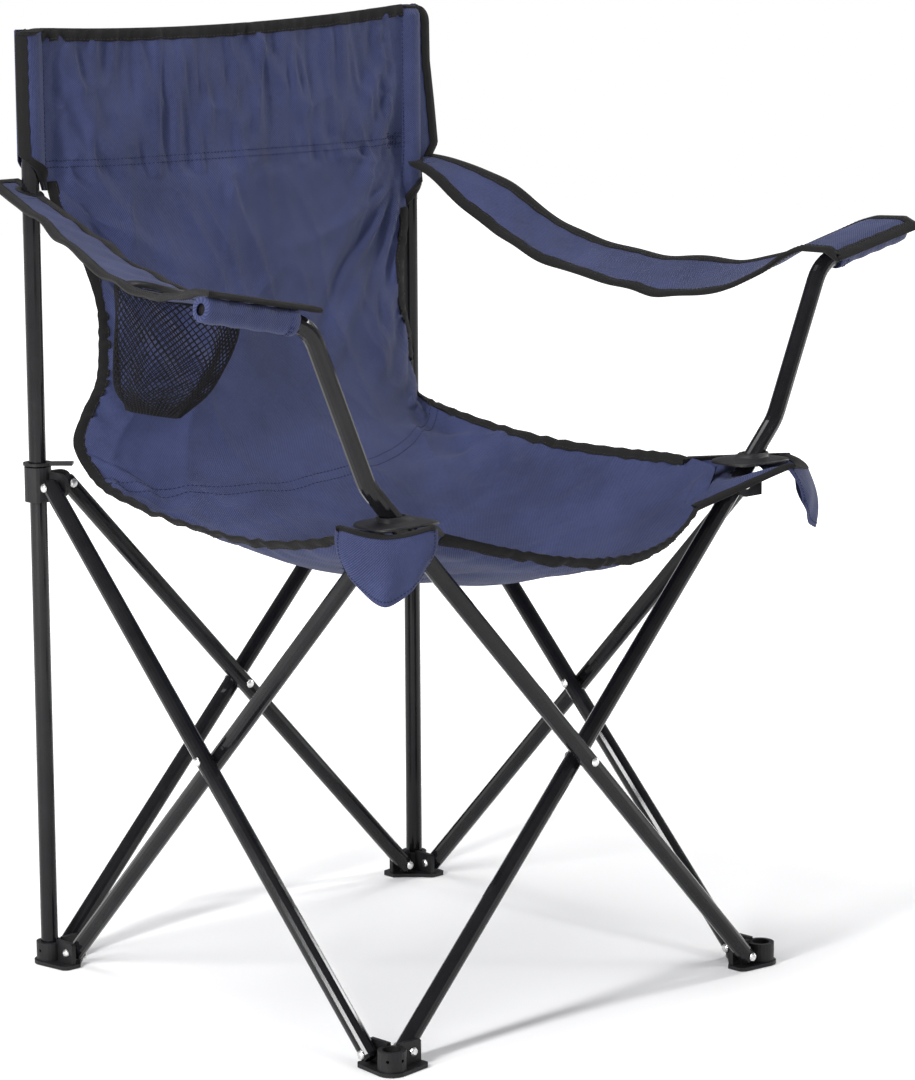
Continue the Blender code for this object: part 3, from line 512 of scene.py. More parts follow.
def settled(grid, pinned, slack, cap, frames=22):
    """The grid after it has hung as cloth that is slightly too large, each point moved cap at most.

    pinned holds a weight of 0 to 1 for each point; a fully pinned point stays where it is.
    """
    rows, columns = grid.shape[:2]
    index = np.arange(rows * columns).reshape(rows, columns)
    faces = np.stack((index[:-1, :-1], index[:-1, 1:], index[1:, 1:], index[1:, :-1]), -1)
    mesh = bpy.data.meshes.new("settling")
    mesh.from_pydata(grid.reshape(-1, 3).tolist(), [], faces.reshape(-1, 4).tolist())
    obj = placed("settling", mesh)
    group = obj.vertex_groups.new(name="pinned")
    for place, weight in enumerate(pinned.reshape(-1)):
        if weight > 0:
            group.add([place], float(weight), "REPLACE")
    cloth = obj.modifiers.new("cloth", "CLOTH")
    for key, value in SETTLING.items():
        setattr(cloth.settings, key, value)
    cloth.settings.shrink_min = -slack
    cloth.collision_settings.use_collision = False
    cloth.point_cache.frame_start = 1
    cloth.point_cache.frame_end = frames
    for number in range(1, frames + 1):
        SCENE.frame_set(number)
    seen = obj.evaluated_get(bpy.context.evaluated_depsgraph_get())
    flat = np.empty(rows * columns * 3)
    seen.data.vertices.foreach_get("co", flat)
    result = flat.reshape(rows, columns, 3)
    bpy.data.objects.remove(obj, do_unlink=True)
    bpy.data.meshes.remove(mesh)
    SCENE.frame_set(1)
    move = result - grid
    size = np.linalg.norm(move, axis=2, keepdims=True)
    return grid + move * np.minimum(1.0, cap / np.maximum(size, 1e-9))


def add_folds(grid, normals, fans):
    """Soft creases that run out of tension points, as ridges along the cloth's own normals.

    A fan is (row share, column share, from degrees, to degrees, count, length, width, height);
    0 degrees runs to the right across the cloth and 90 degrees down it.
    """
    u = arc_lengths(grid, 1)
    v = arc_lengths(grid, 0)
    uu, vv = np.meshgrid(u, v)
    lift = np.zeros_like(uu)
    for row, column, start, end, count, length, width, height in fans:
        u0, v0 = column * u[-1], row * v[-1]
        for k in range(count):
            share = (k + 0.5 + RNG.uniform(-0.3, 0.3)) / count
            angle = math.radians(start + (end - start) * share)
            along = (uu - u0) * math.cos(angle) + (vv - v0) * math.sin(angle)
            bend = RNG.uniform(-0.25, 0.25) * along * along / length
            across = -(uu - u0) * math.sin(angle) + (vv - v0) * math.cos(angle) + bend
            reach = length * RNG.uniform(0.7, 1.1)
            wide = width * RNG.uniform(0.7, 1.2) * (0.45 + 0.9 * np.clip(along / reach, 0, 1))
            t = np.clip(along / reach, 0, 1)
            fade = np.where(along > 0, np.sin(np.pi * np.sqrt(t)), 0.0)
            sign = 1 if k % 2 == 0 else -0.7
            lift += sign * height * RNG.uniform(0.6, 1.0) * fade * np.exp(-(across / wide) ** 2)
    return grid + normals * lift[:, :, None]


def soft_noise(u, v, cell_u, cell_v, turn=0.0):
    """Smooth random field from -1 to 1 over a plane, with cells of the given sizes."""
    c, s = math.cos(math.radians(turn)), math.sin(math.radians(turn))
    a, b = (u * c + v * s) / cell_u + 40, (v * c - u * s) / cell_v + 40
    lattice = RNG.uniform(-1, 1, (97, 97))
    i, j = np.floor(a).astype(int), np.floor(b).astype(int)
    f, g = a - i, b - j
    f, g = f * f * (3 - 2 * f), g * g * (3 - 2 * g)
    i, j, i1, j1 = i % 97, j % 97, (i + 1) % 97, (j + 1) % 97
    return ((lattice[i, j] * (1 - f) + lattice[i1, j] * f) * (1 - g)
            + (lattice[i, j1] * (1 - f) + lattice[i1, j1] * f) * g)


def crumple(grid, normals):
    """Upright creases in the head band, long leaning ones in the back, faint ones in the seat."""
    u, v = arc_lengths(grid, 1), arc_lengths(grid, 0)
    uu, vv = np.meshgrid(u, v)
    share = vv / v[-1]
    band = np.clip((at_height(grid, HEM_Z) - share) / 0.01, 0, 1)
    seat = np.clip((share - BACK_END) / 0.08, 0, 1)
    back = (1 - band) * (1 - seat)
    lift = band * (0.0030 * ridges(uu, vv, 0.024, 0.11, 4) + 0.0016 * ridges(uu, vv, 0.013, 0.05, -9))
    lift += back * (0.0042 * ridges(uu, vv, 0.055, 0.26, 24)
                    + 0.0018 * ridges(uu, vv, 0.028, 0.13, -14))
    lift += seat * (0.0026 * ridges(uu, vv, 0.060, 0.16, 62)
                    + 0.0014 * ridges(uu, vv, 0.030, 0.08, -48))
    calm = np.clip(uu / 0.02, 0, 1) * np.clip((u[-1] - uu) / 0.02, 0, 1)
    calm *= np.clip((v[-1] - vv) / 0.02, 0, 1) * (0.25 + 0.75 * np.clip(vv / 0.012, 0, 1))
    for place, strength in ((at_height(grid, HEM_Z - HEM_GAP / 2), 1.0), (SEAT_SEAM, 0.8)):
        off = (share - place) * v[-1]
        pucker = 0.0007 * np.sin(uu / 0.0052 + 3 * np.sin(uu / 0.031)) * np.exp(-(off / 0.012) ** 2)
        lift -= strength * (0.0016 * np.exp(-(off / 0.0042) ** 2) - pucker)
    hem = 1 - 0.7 * np.exp(-((share - at_height(grid, HEM_Z - HEM_GAP / 2)) / 0.008) ** 2)
    return grid + normals * (lift * calm * hem)[:, :, None]


def ridges(u, v, cell_u, cell_v, turn):
    return 1 - 2 * np.sqrt(np.abs(soft_noise(u, v, cell_u, cell_v, turn)) + 0.01)


def squash_and_ride(piece, body):
    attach(piece, body)
    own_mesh(piece)


# The sling: back and seat are one cloth, cut where the model's pieces part

def station(left, mid, right, skew=0.0):
    """One row of the sling: left (x, y, z), middle (y, z), right (x, y, z), and skew of its sag."""
    return (*left, *mid, *right, skew)


TOP, HIP = POST_TOP, HUB_Z
SEAM_X = CORNER - 0.0125    # where the head band is sewn to its sleeves
SEAM_Y = CORNER - 0.0041
SLING = [
    station((-SEAM_X, SEAM_Y, TOP + 0.0065), (0.2300, TOP + 0.0050), (SEAM_X, SEAM_Y, TOP + 0.0145)),
    station((-SEAM_X, SEAM_Y, TOP - 0.0350), (0.2290, TOP - 0.0360), (SEAM_X, SEAM_Y, TOP - 0.0300)),
    station((-SEAM_X, SEAM_Y, TOP - 0.0760), (0.2285, TOP - 0.0760), (SEAM_X, SEAM_Y, TOP - 0.0740)),
    station((-SEAM_X, SEAM_Y, TOP - 0.1140), (0.2270, TOP - 0.1120), (SEAM_X, SEAM_Y, TOP - 0.1150)),
    station((-0.2130, 0.2285, TOP - 0.1560), (0.2190, TOP - 0.1560), (SEAM_X, SEAM_Y, TOP - 0.1570)),
    station((-0.1960, 0.2170, TOP - 0.1930), (0.2110, TOP - 0.1980), (0.2200, 0.222, TOP - 0.1930)),
    station((-0.1845, 0.2075, TOP - 0.2390), (0.2010, TOP - 0.2420), (0.2020, 0.210, TOP - 0.2350)),
    station((-0.1864, 0.202, HIP + 0.1310), (0.1910, HIP + 0.1240), (0.1990, 0.205, HIP + 0.1350)),
    station((-0.1914, 0.200, HIP + 0.0950), (0.1790, HIP + 0.0940), (0.2035, 0.202, HIP + 0.1020)),
    station((-0.2045, 0.204, HIP + 0.0660), (0.1640, HIP + 0.0680), (0.2060, 0.202, HIP + 0.0730)),
    station((-0.2095, 0.212, HIP + 0.0400), (0.1450, HIP + 0.0440), (0.2100, 0.205, HIP + 0.0500)),
    station((-0.2060, 0.203, HIP + 0.0160), (0.1150, HIP + 0.0200), (0.2105, 0.190, HIP + 0.0395)),
    station((-0.2080, 0.165, HIP - 0.0040), (0.0800, HIP - 0.0060), (0.2095, 0.150, HIP + 0.0325)),
    station((-0.2085, 0.090, HIP - 0.0160), (0.0420, HIP - 0.0310), (0.2085, 0.080, HIP + 0.0240)),
    station((-0.2085, 0.000, HIP - 0.0225), (0.0000, HIP - 0.0530), (0.2085, 0.000, HIP + 0.0185), 0.1),
    station((-0.2085, -0.070, HIP - 0.0195), (-0.0830, HIP - 0.0650),
            (0.2080, -0.085, HIP + 0.0185), 0.2),
    station((-0.2070, -0.140, HIP - 0.0065), (-0.1650, HIP - 0.0580),
            (0.2060, -0.150, HIP + 0.0200), 0.35),
    station((-0.2010, -0.208, HIP + 0.0120), (-0.2450, HIP - 0.0390),
            (0.1990, -0.208, HIP + 0.0150), 0.5),
]
SLING_ROWS = 118
SLING_COLUMNS = 64
BACK_END = 10 / 17          # share of the rows where the back ends
FOLD = 14 / 17              # and where the seat folds
SEAT_STITCHES = (0.36, 0.42)     # rows of stitches, as shares of the seat's rear half
SEAT_SEAM = BACK_END + sum(SEAT_STITCHES) / 2 * (FOLD - BACK_END)


def sling_grid():
    t = np.linspace(0, 1, SLING_ROWS + 1)
    rows = smooth_stations(SLING, t)
    left, mid, right, skew = rows[:, :3], rows[:, 3:5], rows[:, 5:8], rows[:, 8]
    s = np.linspace(-1, 1, SLING_COLUMNS + 1)
    a = ((s + 1) / 2)[None, :, None]
    grid = left[:, None] * (1 - a) + right[:, None] * a
    swell = (1 - s * s)[None] * (1 + skew[:, None] * s[None])
    for axis, column in ((1, 0), (2, 1)):
        chord = (left[:, axis] + right[:, axis]) / 2
        grid[:, :, axis] += swell * (mid[:, column] - chord)[:, None]
    grid[:, :, 1] += MID_Y
    return grid


def sling_pins(grid):
    """The head band's sleeves hold it all down the posts; the corners hold the rest."""
    rows, columns = grid.shape[:2]
    pins = np.zeros((rows, columns))
    z = grid[:, :, 2]
    side = np.abs(np.linspace(-1, 1, columns))[None]
    t = np.linspace(0, 1, rows)[:, None]
    pins[(z > HEM_Z - 0.03) & (side > 0.93)] = 1.0
    pins[:2, :] = 0.7
    edge = np.clip((side - 0.93) / 0.07, 0, 1)
    pins = np.maximum(pins, 0.75 * edge * np.ones_like(pins))
    corner = (np.abs(t - 11 / 17) < 0.02) & (side > 0.95)
    pins[corner] = 1.0
    pins[(t > 0.97) & (side > 0.9)] = 1.0
    pins[-1:, :] = np.maximum(pins[-1:, :], 0.5)
    return pins


SLING_FANS = [
    # under the head band, straight down from the hem and down out of its right end
    (0.20, 0.97, 100, 165, 5, 0.24, 0.011, 0.0055),
    (0.20, 0.03, 20, 75, 4, 0.17, 0.011, 0.0040),
    (0.19, 0.45, 60, 120, 4, 0.16, 0.016, 0.0026),
    # in the head band
    (0.00, 0.30, 60, 110, 3, 0.13, 0.012, 0.0022),
    (0.00, 0.55, 60, 120, 4, 0.13, 0.010, 0.0030),
    (0.00, 0.80, 70, 120, 3, 0.12, 0.010, 0.0030),
    (0.17, 0.88, 180, 260, 3, 0.08, 0.007, 0.0030),
    # up and in from the slider corners
    (0.64, 0.02, -75, -15, 5, 0.20, 0.013, 0.0055),
    (0.64, 0.02, 0, 50, 3, 0.16, 0.014, 0.0040),
    (0.64, 0.98, 195, 255, 4, 0.18, 0.013, 0.0050),
    (0.64, 0.98, 130, 180, 3, 0.16, 0.014, 0.0040),
    # in from the front plates
    (0.99, 0.02, -60, -10, 4, 0.20, 0.014, 0.0050),
    (0.99, 0.98, 190, 240, 4, 0.20, 0.014, 0.0050),
    (0.80, 0.35, -20, 30, 3, 0.22, 0.020, 0.0030),
]


def sling_surface():
    """The whole slung cloth once it has settled, with its creases and its normals."""
    start = sling_grid()
    grid = refine(settled(start, sling_pins(start), 0.016, 0.011))
    grid = add_folds(grid, surface_normals(grid), SLING_FANS)
    grid = crumple(grid, surface_normals(grid))
    return start, grid, surface_normals(grid)


def reversed_run(run):
    return tuple(part[::-1] for part in run)


def area_of(grid):
    a, b = grid[1:, 1:] - grid[:-1, :-1], grid[1:, :-1] - grid[:-1, 1:]
    return float(np.linalg.norm(np.cross(a, b), axis=2).sum() / 2)


def declare(flat_grid, rests_on):
    wide = np.linalg.norm(np.diff(flat_grid, axis=1), axis=2).sum(axis=1).max()
    long = np.linalg.norm(np.diff(flat_grid, axis=0), axis=2).sum(axis=0).max()
    float(np.clip(area_of(flat_grid), 0.301 * wide * long, 0.999 * wide * long))
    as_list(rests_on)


def seam(grid, normals, row_share, face):
    """A stitch line on one face of a sheet, along any share of its grid's rows."""
    place = row_share * (grid.shape[0] - 1)
    low = min(int(place), grid.shape[0] - 2)
    share = place - low
    points, across = (field[low] * (1 - share) + field[low + 1] * share for field in (grid, normals))
    across = unit(across) * face
    return points + across * CLOTH_T / 2, across


def both_faces(grid, normals, row_share):
    return [seam(grid, normals, row_share, face) for face in (1, -1)]


def at_height(grid, z):
    """Share of the rows at which the middle of the cloth passes a height, from the top."""
    heights = grid[:, grid.shape[1] // 2, 2]
    return float(np.argmax(heights < z)) / (grid.shape[0] - 1)


def bar_tack(grid, normals):
    """A dense crossed patch of stitches where the hem meets the right sleeve."""
    row = round(at_height(grid, HEM_Z - HEM_GAP / 2) * (len(grid) - 1))
    column = grid.shape[1] - 5
    lines = []
    for shift in (-1, 0, 1):
        for slope in (-1, 1):
            places = [(row + k, column + slope * k + shift) for k in range(-3, 4)]
            points = np.array([grid[j, i] for j, i in places])
            ns = np.array([normals[j, i] for j, i in places])
            lines.append((points + ns * CLOTH_T / 2, ns))
    return lines


def build_sling():
    start, grid, normals = sling_surface()
    rows = grid.shape[0] - 1
    cuts = [0, round(BACK_END * rows), round(FOLD * rows), rows]
    v = arc_lengths(grid, 0)
    specs = (("back", "post_rear_left", "back_panel", ("rear_post_left", "rear_post_right")),
             ("seat_rear", "seat_rear", "seat_rear", ("seat_hook_left", "seat_hook_right")),
             ("seat_front", "seat_front", "seat_front", ("corner_plate_left",)))
    for (name, body, node, rests), first, last in zip(specs, cuts, cuts[1:]):
        part, part_n = grid[first:last + 1], normals[first:last + 1]
        piece = cloth_piece(name + "_sling",
                          sheet_mesh(name, part, part_n, CLOTH_T, (0.0, v[first])), NAVY)
        keep_shading(piece, part_n)
        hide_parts(node)
        left, right = edge_run(part, part_n, "left"), edge_run(part, part_n, "right")
        lines = []
        if name == "back":
            ends = [int(np.argmax(run[0][:, 2] < SLEEVE_EDGE[side][-1][0] + rise))
                    for run, side, rise in ((left, -1, 0.008), (right, 1, 0.005))]
            top = edge_run(part, part_n, "start")
            paths = [top, tuple(x[ends[0]:] for x in left), tuple(x[ends[1]:] for x in right)]
            for z in (HEM_Z, HEM_Z - HEM_GAP):
                lines += both_faces(part, part_n, at_height(part, z))
            lines += bar_tack(part, part_n)
        elif name == "seat_rear":
            paths = [left, right]
            for share in SEAT_STITCHES:
                lines += both_faces(part, part_n, share)
        else:
            front = edge_run(part, part_n, "end")
            sides_end = int(np.argmax(left[0][:, 1] < YOKE_SIDE))
            across = np.flatnonzero(np.abs(front[0][:, 0]) < YOKE_FRONT)
            paths = [tuple(x[:sides_end + 1] for x in left),
                     tuple(x[:sides_end + 1] for x in right),
                     tuple(x[across[0]:across[-1] + 1] for x in front)]
            for side in (-1, 1):
                build_corner_cloth(side, part, part_n, sides_end, across)
        extras = []
        for number, path in enumerate(paths):
            extras.append(cloth_piece(f"{name}_binding_{number}", binding_mesh(name, *path, CLOTH_T), TAPE))
            points, inward, n = path
            for face in (1, -1):
                row = points + inward * TAPE_SEAM + n * face * (CLOTH_T / 2 + TAPE_T)
                extras.append(cloth_piece(f"{name}_binding_stitch_{number}_{face + 1}",
                                        stitch_mesh(name, [(row, n * face)]), THREAD_BLACK))
        if lines:
            extras.append(cloth_piece(f"{name}_seams", stitch_mesh(name, lines), THREAD_NAVY))
        for obj in (piece, *extras):
            squash_and_ride(obj, body)
        flat = start[round(first / 2):round(last / 2) + 1]
        declare(flat, rests)


# Sleeves of the head band, round the tops of the rear posts

SLEEVE_EDGE = {
    -1: ((TOP + 0.0065, CORNER + 0.0125), (TOP - 0.060, CORNER + 0.0125),
         (TOP - 0.106, CORNER + 0.0120), (TOP - 0.1205, CORNER - 0.0010),
         (TOP - 0.138, CORNER - 0.0125)),
    1: ((TOP + 0.0145, CORNER + 0.0255), (TOP - 0.040, CORNER + 0.0265),
        (TOP - 0.080, CORNER + 0.0320), (TOP - 0.122, CORNER + 0.0370),
        (TOP - 0.140, CORNER + 0.0250), (TOP - 0.158, CORNER + 0.0080),
        (TOP - 0.186, CORNER - 0.0135)),
}
FLAT_GAP = 0.0008           # half the gap between the layers of a flange
SLEEVE_T = 0.0012           # cloth of one layer
FRONT_LAP = 0.0030          # of the front layer, inward of its seam
REAR_LAP = 0.0205           # of the rear layer, inward of the post's axis
TOP_ROUND = {-1: 0.0055, 1: 0.0170}


def sleeve_depth(off, leave):
    """Half depth of a sleeve at a distance from the post's axis; it leaves the tube at leave."""
    tangent = math.sqrt(SLEEVE_R ** 2 - leave ** 2)
    beyond = tangent - (abs(off) - leave) * leave / tangent
    return max(FLAT_GAP, math.sqrt(SLEEVE_R ** 2 - off ** 2) if abs(off) < leave else beyond)


def build_post_sleeve(side, name):
    """Front layer down to where the edge meets the back, rear layer down to the hem."""
    table = SLEEVE_EDGE[side]
    heights = table[0][0] + (table[-1][0] - table[0][0]) * np.linspace(0, 1, 76) ** 1.35
    edge = np.interp(-heights, [-z for z, _ in table], [x for _, x in table])
    edge -= TOP_ROUND[side] * (1 - np.sqrt(1 - np.clip(1 - (heights[0] - heights)
                                                       / TOP_ROUND[side], 0, 1) ** 2))
    grid = np.zeros((len(heights), 29, 3))
    for j, (z, reach) in enumerate(zip(heights, edge)):
        for i, share in enumerate(np.linspace(0, 1, 29)):
            x = SEAM_X - FRONT_LAP + (reach - SEAM_X + FRONT_LAP) * share
            off = x - CORNER
            depth = sleeve_depth(off, 0.0060 if off < 0 else 0.0085)
            closing = 1 - 0.75 * np.clip((z - TOP - 0.0060) / 0.006, 0, 1)
            grid[j, i] = (side * x, POST_Y - depth * closing - 0.0008, z)
    if side < 0:
        grid = grid[:, ::-1]
    normals = surface_normals(grid)
    front = cloth_piece(f"post_sleeve_front_{name}", sheet_mesh(name, grid, normals, SLEEVE_T), NAVY)
    rear_rows = int((heights > HEM_Z - 0.010).sum())
    rear = np.zeros((rear_rows, 29, 3))
    for j in range(rear_rows):
        for i, share in enumerate(np.linspace(0, 1, 29)):
            x = CORNER - REAR_LAP + (edge[j] - CORNER + REAR_LAP) * share
            off = x - CORNER
            depth = sleeve_depth(off, 0.0085)
            near = np.clip((-off - 0.0125) / 0.008, 0, 1)
            y = POST_Y + depth * (1 - near) + (SEAM_Y + 0.0022 - CORNER) * near
            rear[j, i] = (side * x, y + 0.0004, heights[j])
    if side > 0:
        rear = rear[:, ::-1]
    back = cloth_piece(f"post_sleeve_back_{name}",
                     sheet_mesh(name, rear, surface_normals(rear), SLEEVE_T), NAVY)
    outer = edge_run(grid, normals, "right" if side > 0 else "left")
    top = edge_run(grid, normals, "start")
    points, inward, n = joined_runs([reversed_run(outer), top if side < 0 else reversed_run(top)])
    points[:, 1] += FLAT_GAP + 0.0002
    binding = new_piece(f"post_sleeve_binding_{name}",
                        binding_mesh(name, points, inward, n, 0.0034,
                                     share=np.clip((np.abs(points[:, 0]) - SEAM_X + 0.0030)
                                                   / TAPE_W, 0.25, 1)), TAPE)
    seam_column = 2 if side > 0 else -3
    across = normals[:, seam_column]
    line = (grid[:, seam_column] + across * (SLEEVE_T / 2 + 0.0001), across)
    stitches = cloth_piece(f"post_sleeve_seam_{name}", stitch_mesh(name, [line]), THREAD_NAVY)
    for obj in (front, back, binding, stitches):
        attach(obj, f"post_rear_{name}")
    declare(grid, (f"rear_post_{name}",))
    declare(rear, (f"rear_post_{name}",))


# Armrests

PIVOT = CORNER - 0.025
LEAN = math.atan2(2 * PIVOT, HUB_Z - 0.013)
ARM_LEAN = math.radians(24.2)
ARM_TOP_LEAN = math.radians(79.0)
ARM_CORNER = (PIVOT + 0.075 * math.sin(LEAN) + 0.152 * math.sin(ARM_LEAN),
              HUB_Z + 0.075 * math.cos(LEAN) + 0.152 * math.cos(ARM_LEAN))
ARM_FRONT_X = ARM_CORNER[0] + 0.052
ARM_REAR_Z = TOP - 0.131
ARM_REAR_Y, ARM_FRONT_Y = CORNER + 0.035, -CORNER - 0.0135
ARM_PLANE = {-1: CORNER + 0.0045, 1: CORNER - 0.0125}
ARM_REAR_HALF, ARM_FRONT_HALF = 0.0175, 0.059
ARM_SAG = {
    -1: ((0.0, 0.0), (0.010, 0.006), (0.020, 0.011), (0.029, 0.018), (0.034, 0.025),
         (0.033, 0.028), (0.028, 0.026), (0.017, 0.016), (0.0, 0.0)),
    1: ((0.0, 0.0), (0.007, 0.001), (0.041, 0.016), (0.064, 0.049), (0.073, 0.062),
        (0.075, 0.062), (0.069, 0.056), (0.042, 0.032), (0.0, 0.0)),
}
ARM_T = 0.0026
ARM_ROWS, ARM_COLUMNS = 196, 36
LOOP_END = 0.102            # share of the armrest that turns with the post as a stiff loop
ARM_HEM = (0.064, 0.068)    # rows of stitches, back from the front edge
CUP_U, CUP_R = 0.66, 0.034
RING_W = 0.0052             # the cup's ring and the eyelets


def armrest_point(side, u, s):
    """u runs 0 to 1 from behind the rear post to the front hem, s from -1 (inner) to 1 (outer)."""
    clear = 1.2 * SLEEVE_R
    start, end = ((ARM_REAR_Y + ARM_PLANE[side] - off) / (ARM_REAR_Y - ARM_FRONT_Y)
                  for off in (clear, -clear))
    half = ARM_REAR_HALF + (ARM_FRONT_HALF - ARM_REAR_HALF) * u
    offset = s * half * (1 + math.copysign(0.27, s) * max(0.0, 1 - u / 0.25) ** 2)
    out = CORNER + (ARM_FRONT_X - CORNER) * u + offset
    front_z = (ARM_CORNER[1] + 0.013
               + (ARM_FRONT_X + s * half - ARM_CORNER[0]) / math.tan(ARM_TOP_LEAN))
    hang = min(1.0, u / start)
    inner, outer = smooth_stations(ARM_SAG[side], np.array([hang]))[0]
    droop = 0.008 * (u - end) / (1 - end) if u > end else 0.0
    height = ARM_REAR_Z + (front_z - ARM_REAR_Z) * hang
    height -= inner + (outer - inner) * (s + 1) / 2 + droop
    return np.array((side * out, MID_Y + ARM_REAR_Y + (ARM_FRONT_Y - ARM_REAR_Y) * u, height))


def armrest_grid(side):
    u = np.linspace(0, 1, ARM_ROWS + 1)
    s = np.linspace(-1, 1, ARM_COLUMNS + 1)
    grid = np.array([[armrest_point(side, a, b * side) for b in s] for a in u])
    uu, ss = np.meshgrid(u, s * side, indexing="ij")
    # wavy edges and a few soft cross creases; the ends stay flat
    calm = np.clip((uu - 0.12) / 0.1, 0, 1) * np.clip((0.90 - uu) / 0.08, 0, 1)
    edge = np.abs(ss) ** 3
    wave = 0.0012 * np.sin(uu * 31 + ss * 1.3) + 0.0009 * np.sin(uu * 53 + 2 - ss)
    crease = 0.0011 * np.sin(uu * 75 + 4 * ss) * np.exp(-((ss + 0.2) / 0.7) ** 2)
    grid[:, :, 2] += calm * (wave * (0.25 + 0.75 * edge) + crease)
    grid[:, :, 0] += side * calm * edge * 0.0013 * np.sin(uu * 40 + 1) * np.sign(ss)
    return grid


def armrest_field(side, grid, normals):
    """A lookup of the armrest's surface: share along it and share across it to point and normal."""
    def at(u, s):
        a = np.clip(u, 0, 1) * (grid.shape[0] - 1)
        b = np.clip((s * side + 1) / 2, 0, 1) * (grid.shape[1] - 1)
        i, j = min(int(a), grid.shape[0] - 2), min(int(b), grid.shape[1] - 2)
        f, g = a - i, b - j

        def pick(field):
            return ((field[i, j] * (1 - f) + field[i + 1, j] * f) * (1 - g)
                    + (field[i, j + 1] * (1 - f) + field[i + 1, j + 1] * f) * g)

        return pick(grid), unit(pick(normals))
    return at


def share_at(side, x, y):
    """The armrest's own coordinates of a place in plan."""
    u = (MID_Y + ARM_REAR_Y - y) / (ARM_REAR_Y - ARM_FRONT_Y)
    half = ARM_REAR_HALF + (ARM_FRONT_HALF - ARM_REAR_HALF) * u
    return u, (side * x - CORNER - (ARM_FRONT_X - CORNER) * u) / half


def ring_on_sheet(name, at, side, centre, radius, width, material, cloth_t):
    """Tape folded over the edge of a round hole in an armrest."""
    points, outward, normals = [], [], []
    for k in range(56):
        angle = 2 * math.pi * k / 56
        way = np.array((math.cos(angle), math.sin(angle), 0.0))
        point, normal = at(*share_at(side, centre[0] + radius * way[0], centre[1] + radius * way[1]))
        further, _ = at(*share_at(side, centre[0] + (radius + 0.004) * way[0],
                                  centre[1] + (radius + 0.004) * way[1]))
        points.append(point)
        outward.append(unit(further - point))
        normals.append(normal)
    half = cloth_t / 2 + 0.0012
    profile = ((width, half * 0.8), (width * 0.5, half * 1.15), (0.0, half), (-0.0012, 0.0),
               (0.0, -half), (width * 0.5, -half * 1.15), (width, -half * 0.8))
    rings = [[p + o * w + n * h for w, h in profile]
             for p, o, n in zip(points, outward, normals)]
    return new_piece(name, swept_mesh(name, rings, True), material)


def build_armrest(side, name):
    body, joint = f"armrest_{name}", f"armrest_{name}_swing"
    grid = armrest_grid(side)
    normals = surface_normals(grid)
    if normals[:, :, 2].mean() < 0:
        normals = -normals
    at = armrest_field(side, grid, normals)
    post = np.array((side * CORNER, POST_Y))
    cup = armrest_point(side, CUP_U, 0)[:2]
    flat_faces = (grid[:-1, :-1, :2], grid[1:, :-1, :2], grid[1:, 1:, :2], grid[:-1, 1:, :2])

    def near(place, reach):
        return np.min([np.linalg.norm(f - place, axis=2) for f in flat_faces], axis=0) < reach

    holes = near(post, TUBE_R + 0.0008)
    if side < 0:
        holes |= near(cup, CUP_R)
    cut = round(LOOP_END * ARM_ROWS)
    front = grid[ARM_ROWS - 4, ARM_COLUMNS // 2]
    rear = np.array((side * CORNER, POST_Y, ARM_REAR_Z))
    way = unit(front - rear)
    v = arc_lengths(grid, 0)
    loop = cloth_piece(f"armrest_loop_{name}",
                     sheet_mesh(name, grid[:cut + 1], normals[:cut + 1], ARM_T,
                                hole=lambda j, i: holes[j, i]), NAVY)
    main = cloth_piece(f"armrest_cloth_{name}",
                     sheet_mesh(name, grid[cut:], normals[cut:], ARM_T, (0.0, v[cut]),
                                hole=lambda j, i: holes[j + cut, i]), NAVY)
    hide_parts(f"armrest_{name}")
    stiff, soft = [], []
    stiff.append(ring_on_sheet(f"armrest_eyelet_{name}", at, side, post, TUBE_R + 0.0009, RING_W,
                               PLASTIC, ARM_T))
    for obj_list, first, last in ((stiff, 0, cut), (soft, cut, ARM_ROWS)):
        part, part_n = grid[first:last + 1], normals[first:last + 1]
        left, right = edge_run(part, part_n, "left"), edge_run(part, part_n, "right")
        if first == 0:
            run = joined_runs([reversed_run(left), edge_run(part, part_n, "start"), right])
        else:
            run = joined_runs([left, edge_run(part, part_n, "end"), reversed_run(right)])
        label = f"armrest_{name}_{'loop' if first == 0 else 'cloth'}"
        obj_list.append(cloth_piece(label + "_binding", binding_mesh(label, *run, ARM_T), TAPE))
        points, inward, n = run
        rows = [(points + inward * TAPE_SEAM + n * f * (ARM_T / 2 + TAPE_T), n * f)
                for f in (1, -1)]
        obj_list.append(cloth_piece(label + "_stitches", stitch_mesh(label, rows), THREAD_BLACK))
    lines = []
    for back_off in ARM_HEM:
        u = 1 - back_off / (ARM_REAR_Y - ARM_FRONT_Y)
        pairs = [at(u, s) for s in np.linspace(-0.86, 0.86, 40)]
        points, ns = (np.array(part) for part in zip(*pairs))
        lines += [(points + ns * ARM_T / 2, ns), (points - ns * ARM_T / 2, -ns)]
    soft.append(cloth_piece(f"armrest_{name}_seams", stitch_mesh(name, lines), THREAD_NAVY))
    if side < 0:
        soft += build_cup_holder(at, cup)
    for obj in (loop, *stiff):
        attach(obj, body)
    for obj in (main, *soft):
        squash_and_ride(obj, body)
    declare(grid[cut:], (f"rear_post_{name}", f"arm_post_{name}"))
    declare(grid[:cut + 1], (f"rear_post_{name}",))


# Cup holder

NET_COLUMNS, NET_ROWS = 50, 36
NET_RINGS = ((0.0035, 0.040, 0.066, -0.008, 1.0), (0.030, 0.039, 0.062, -0.004, 0.7),
             (0.060, 0.036, 0.054, 0.006, 0.4), (0.084, 0.028, 0.046, 0.016, 0.15),
             (0.103, 0.004, 0.034, 0.026, 0.0))


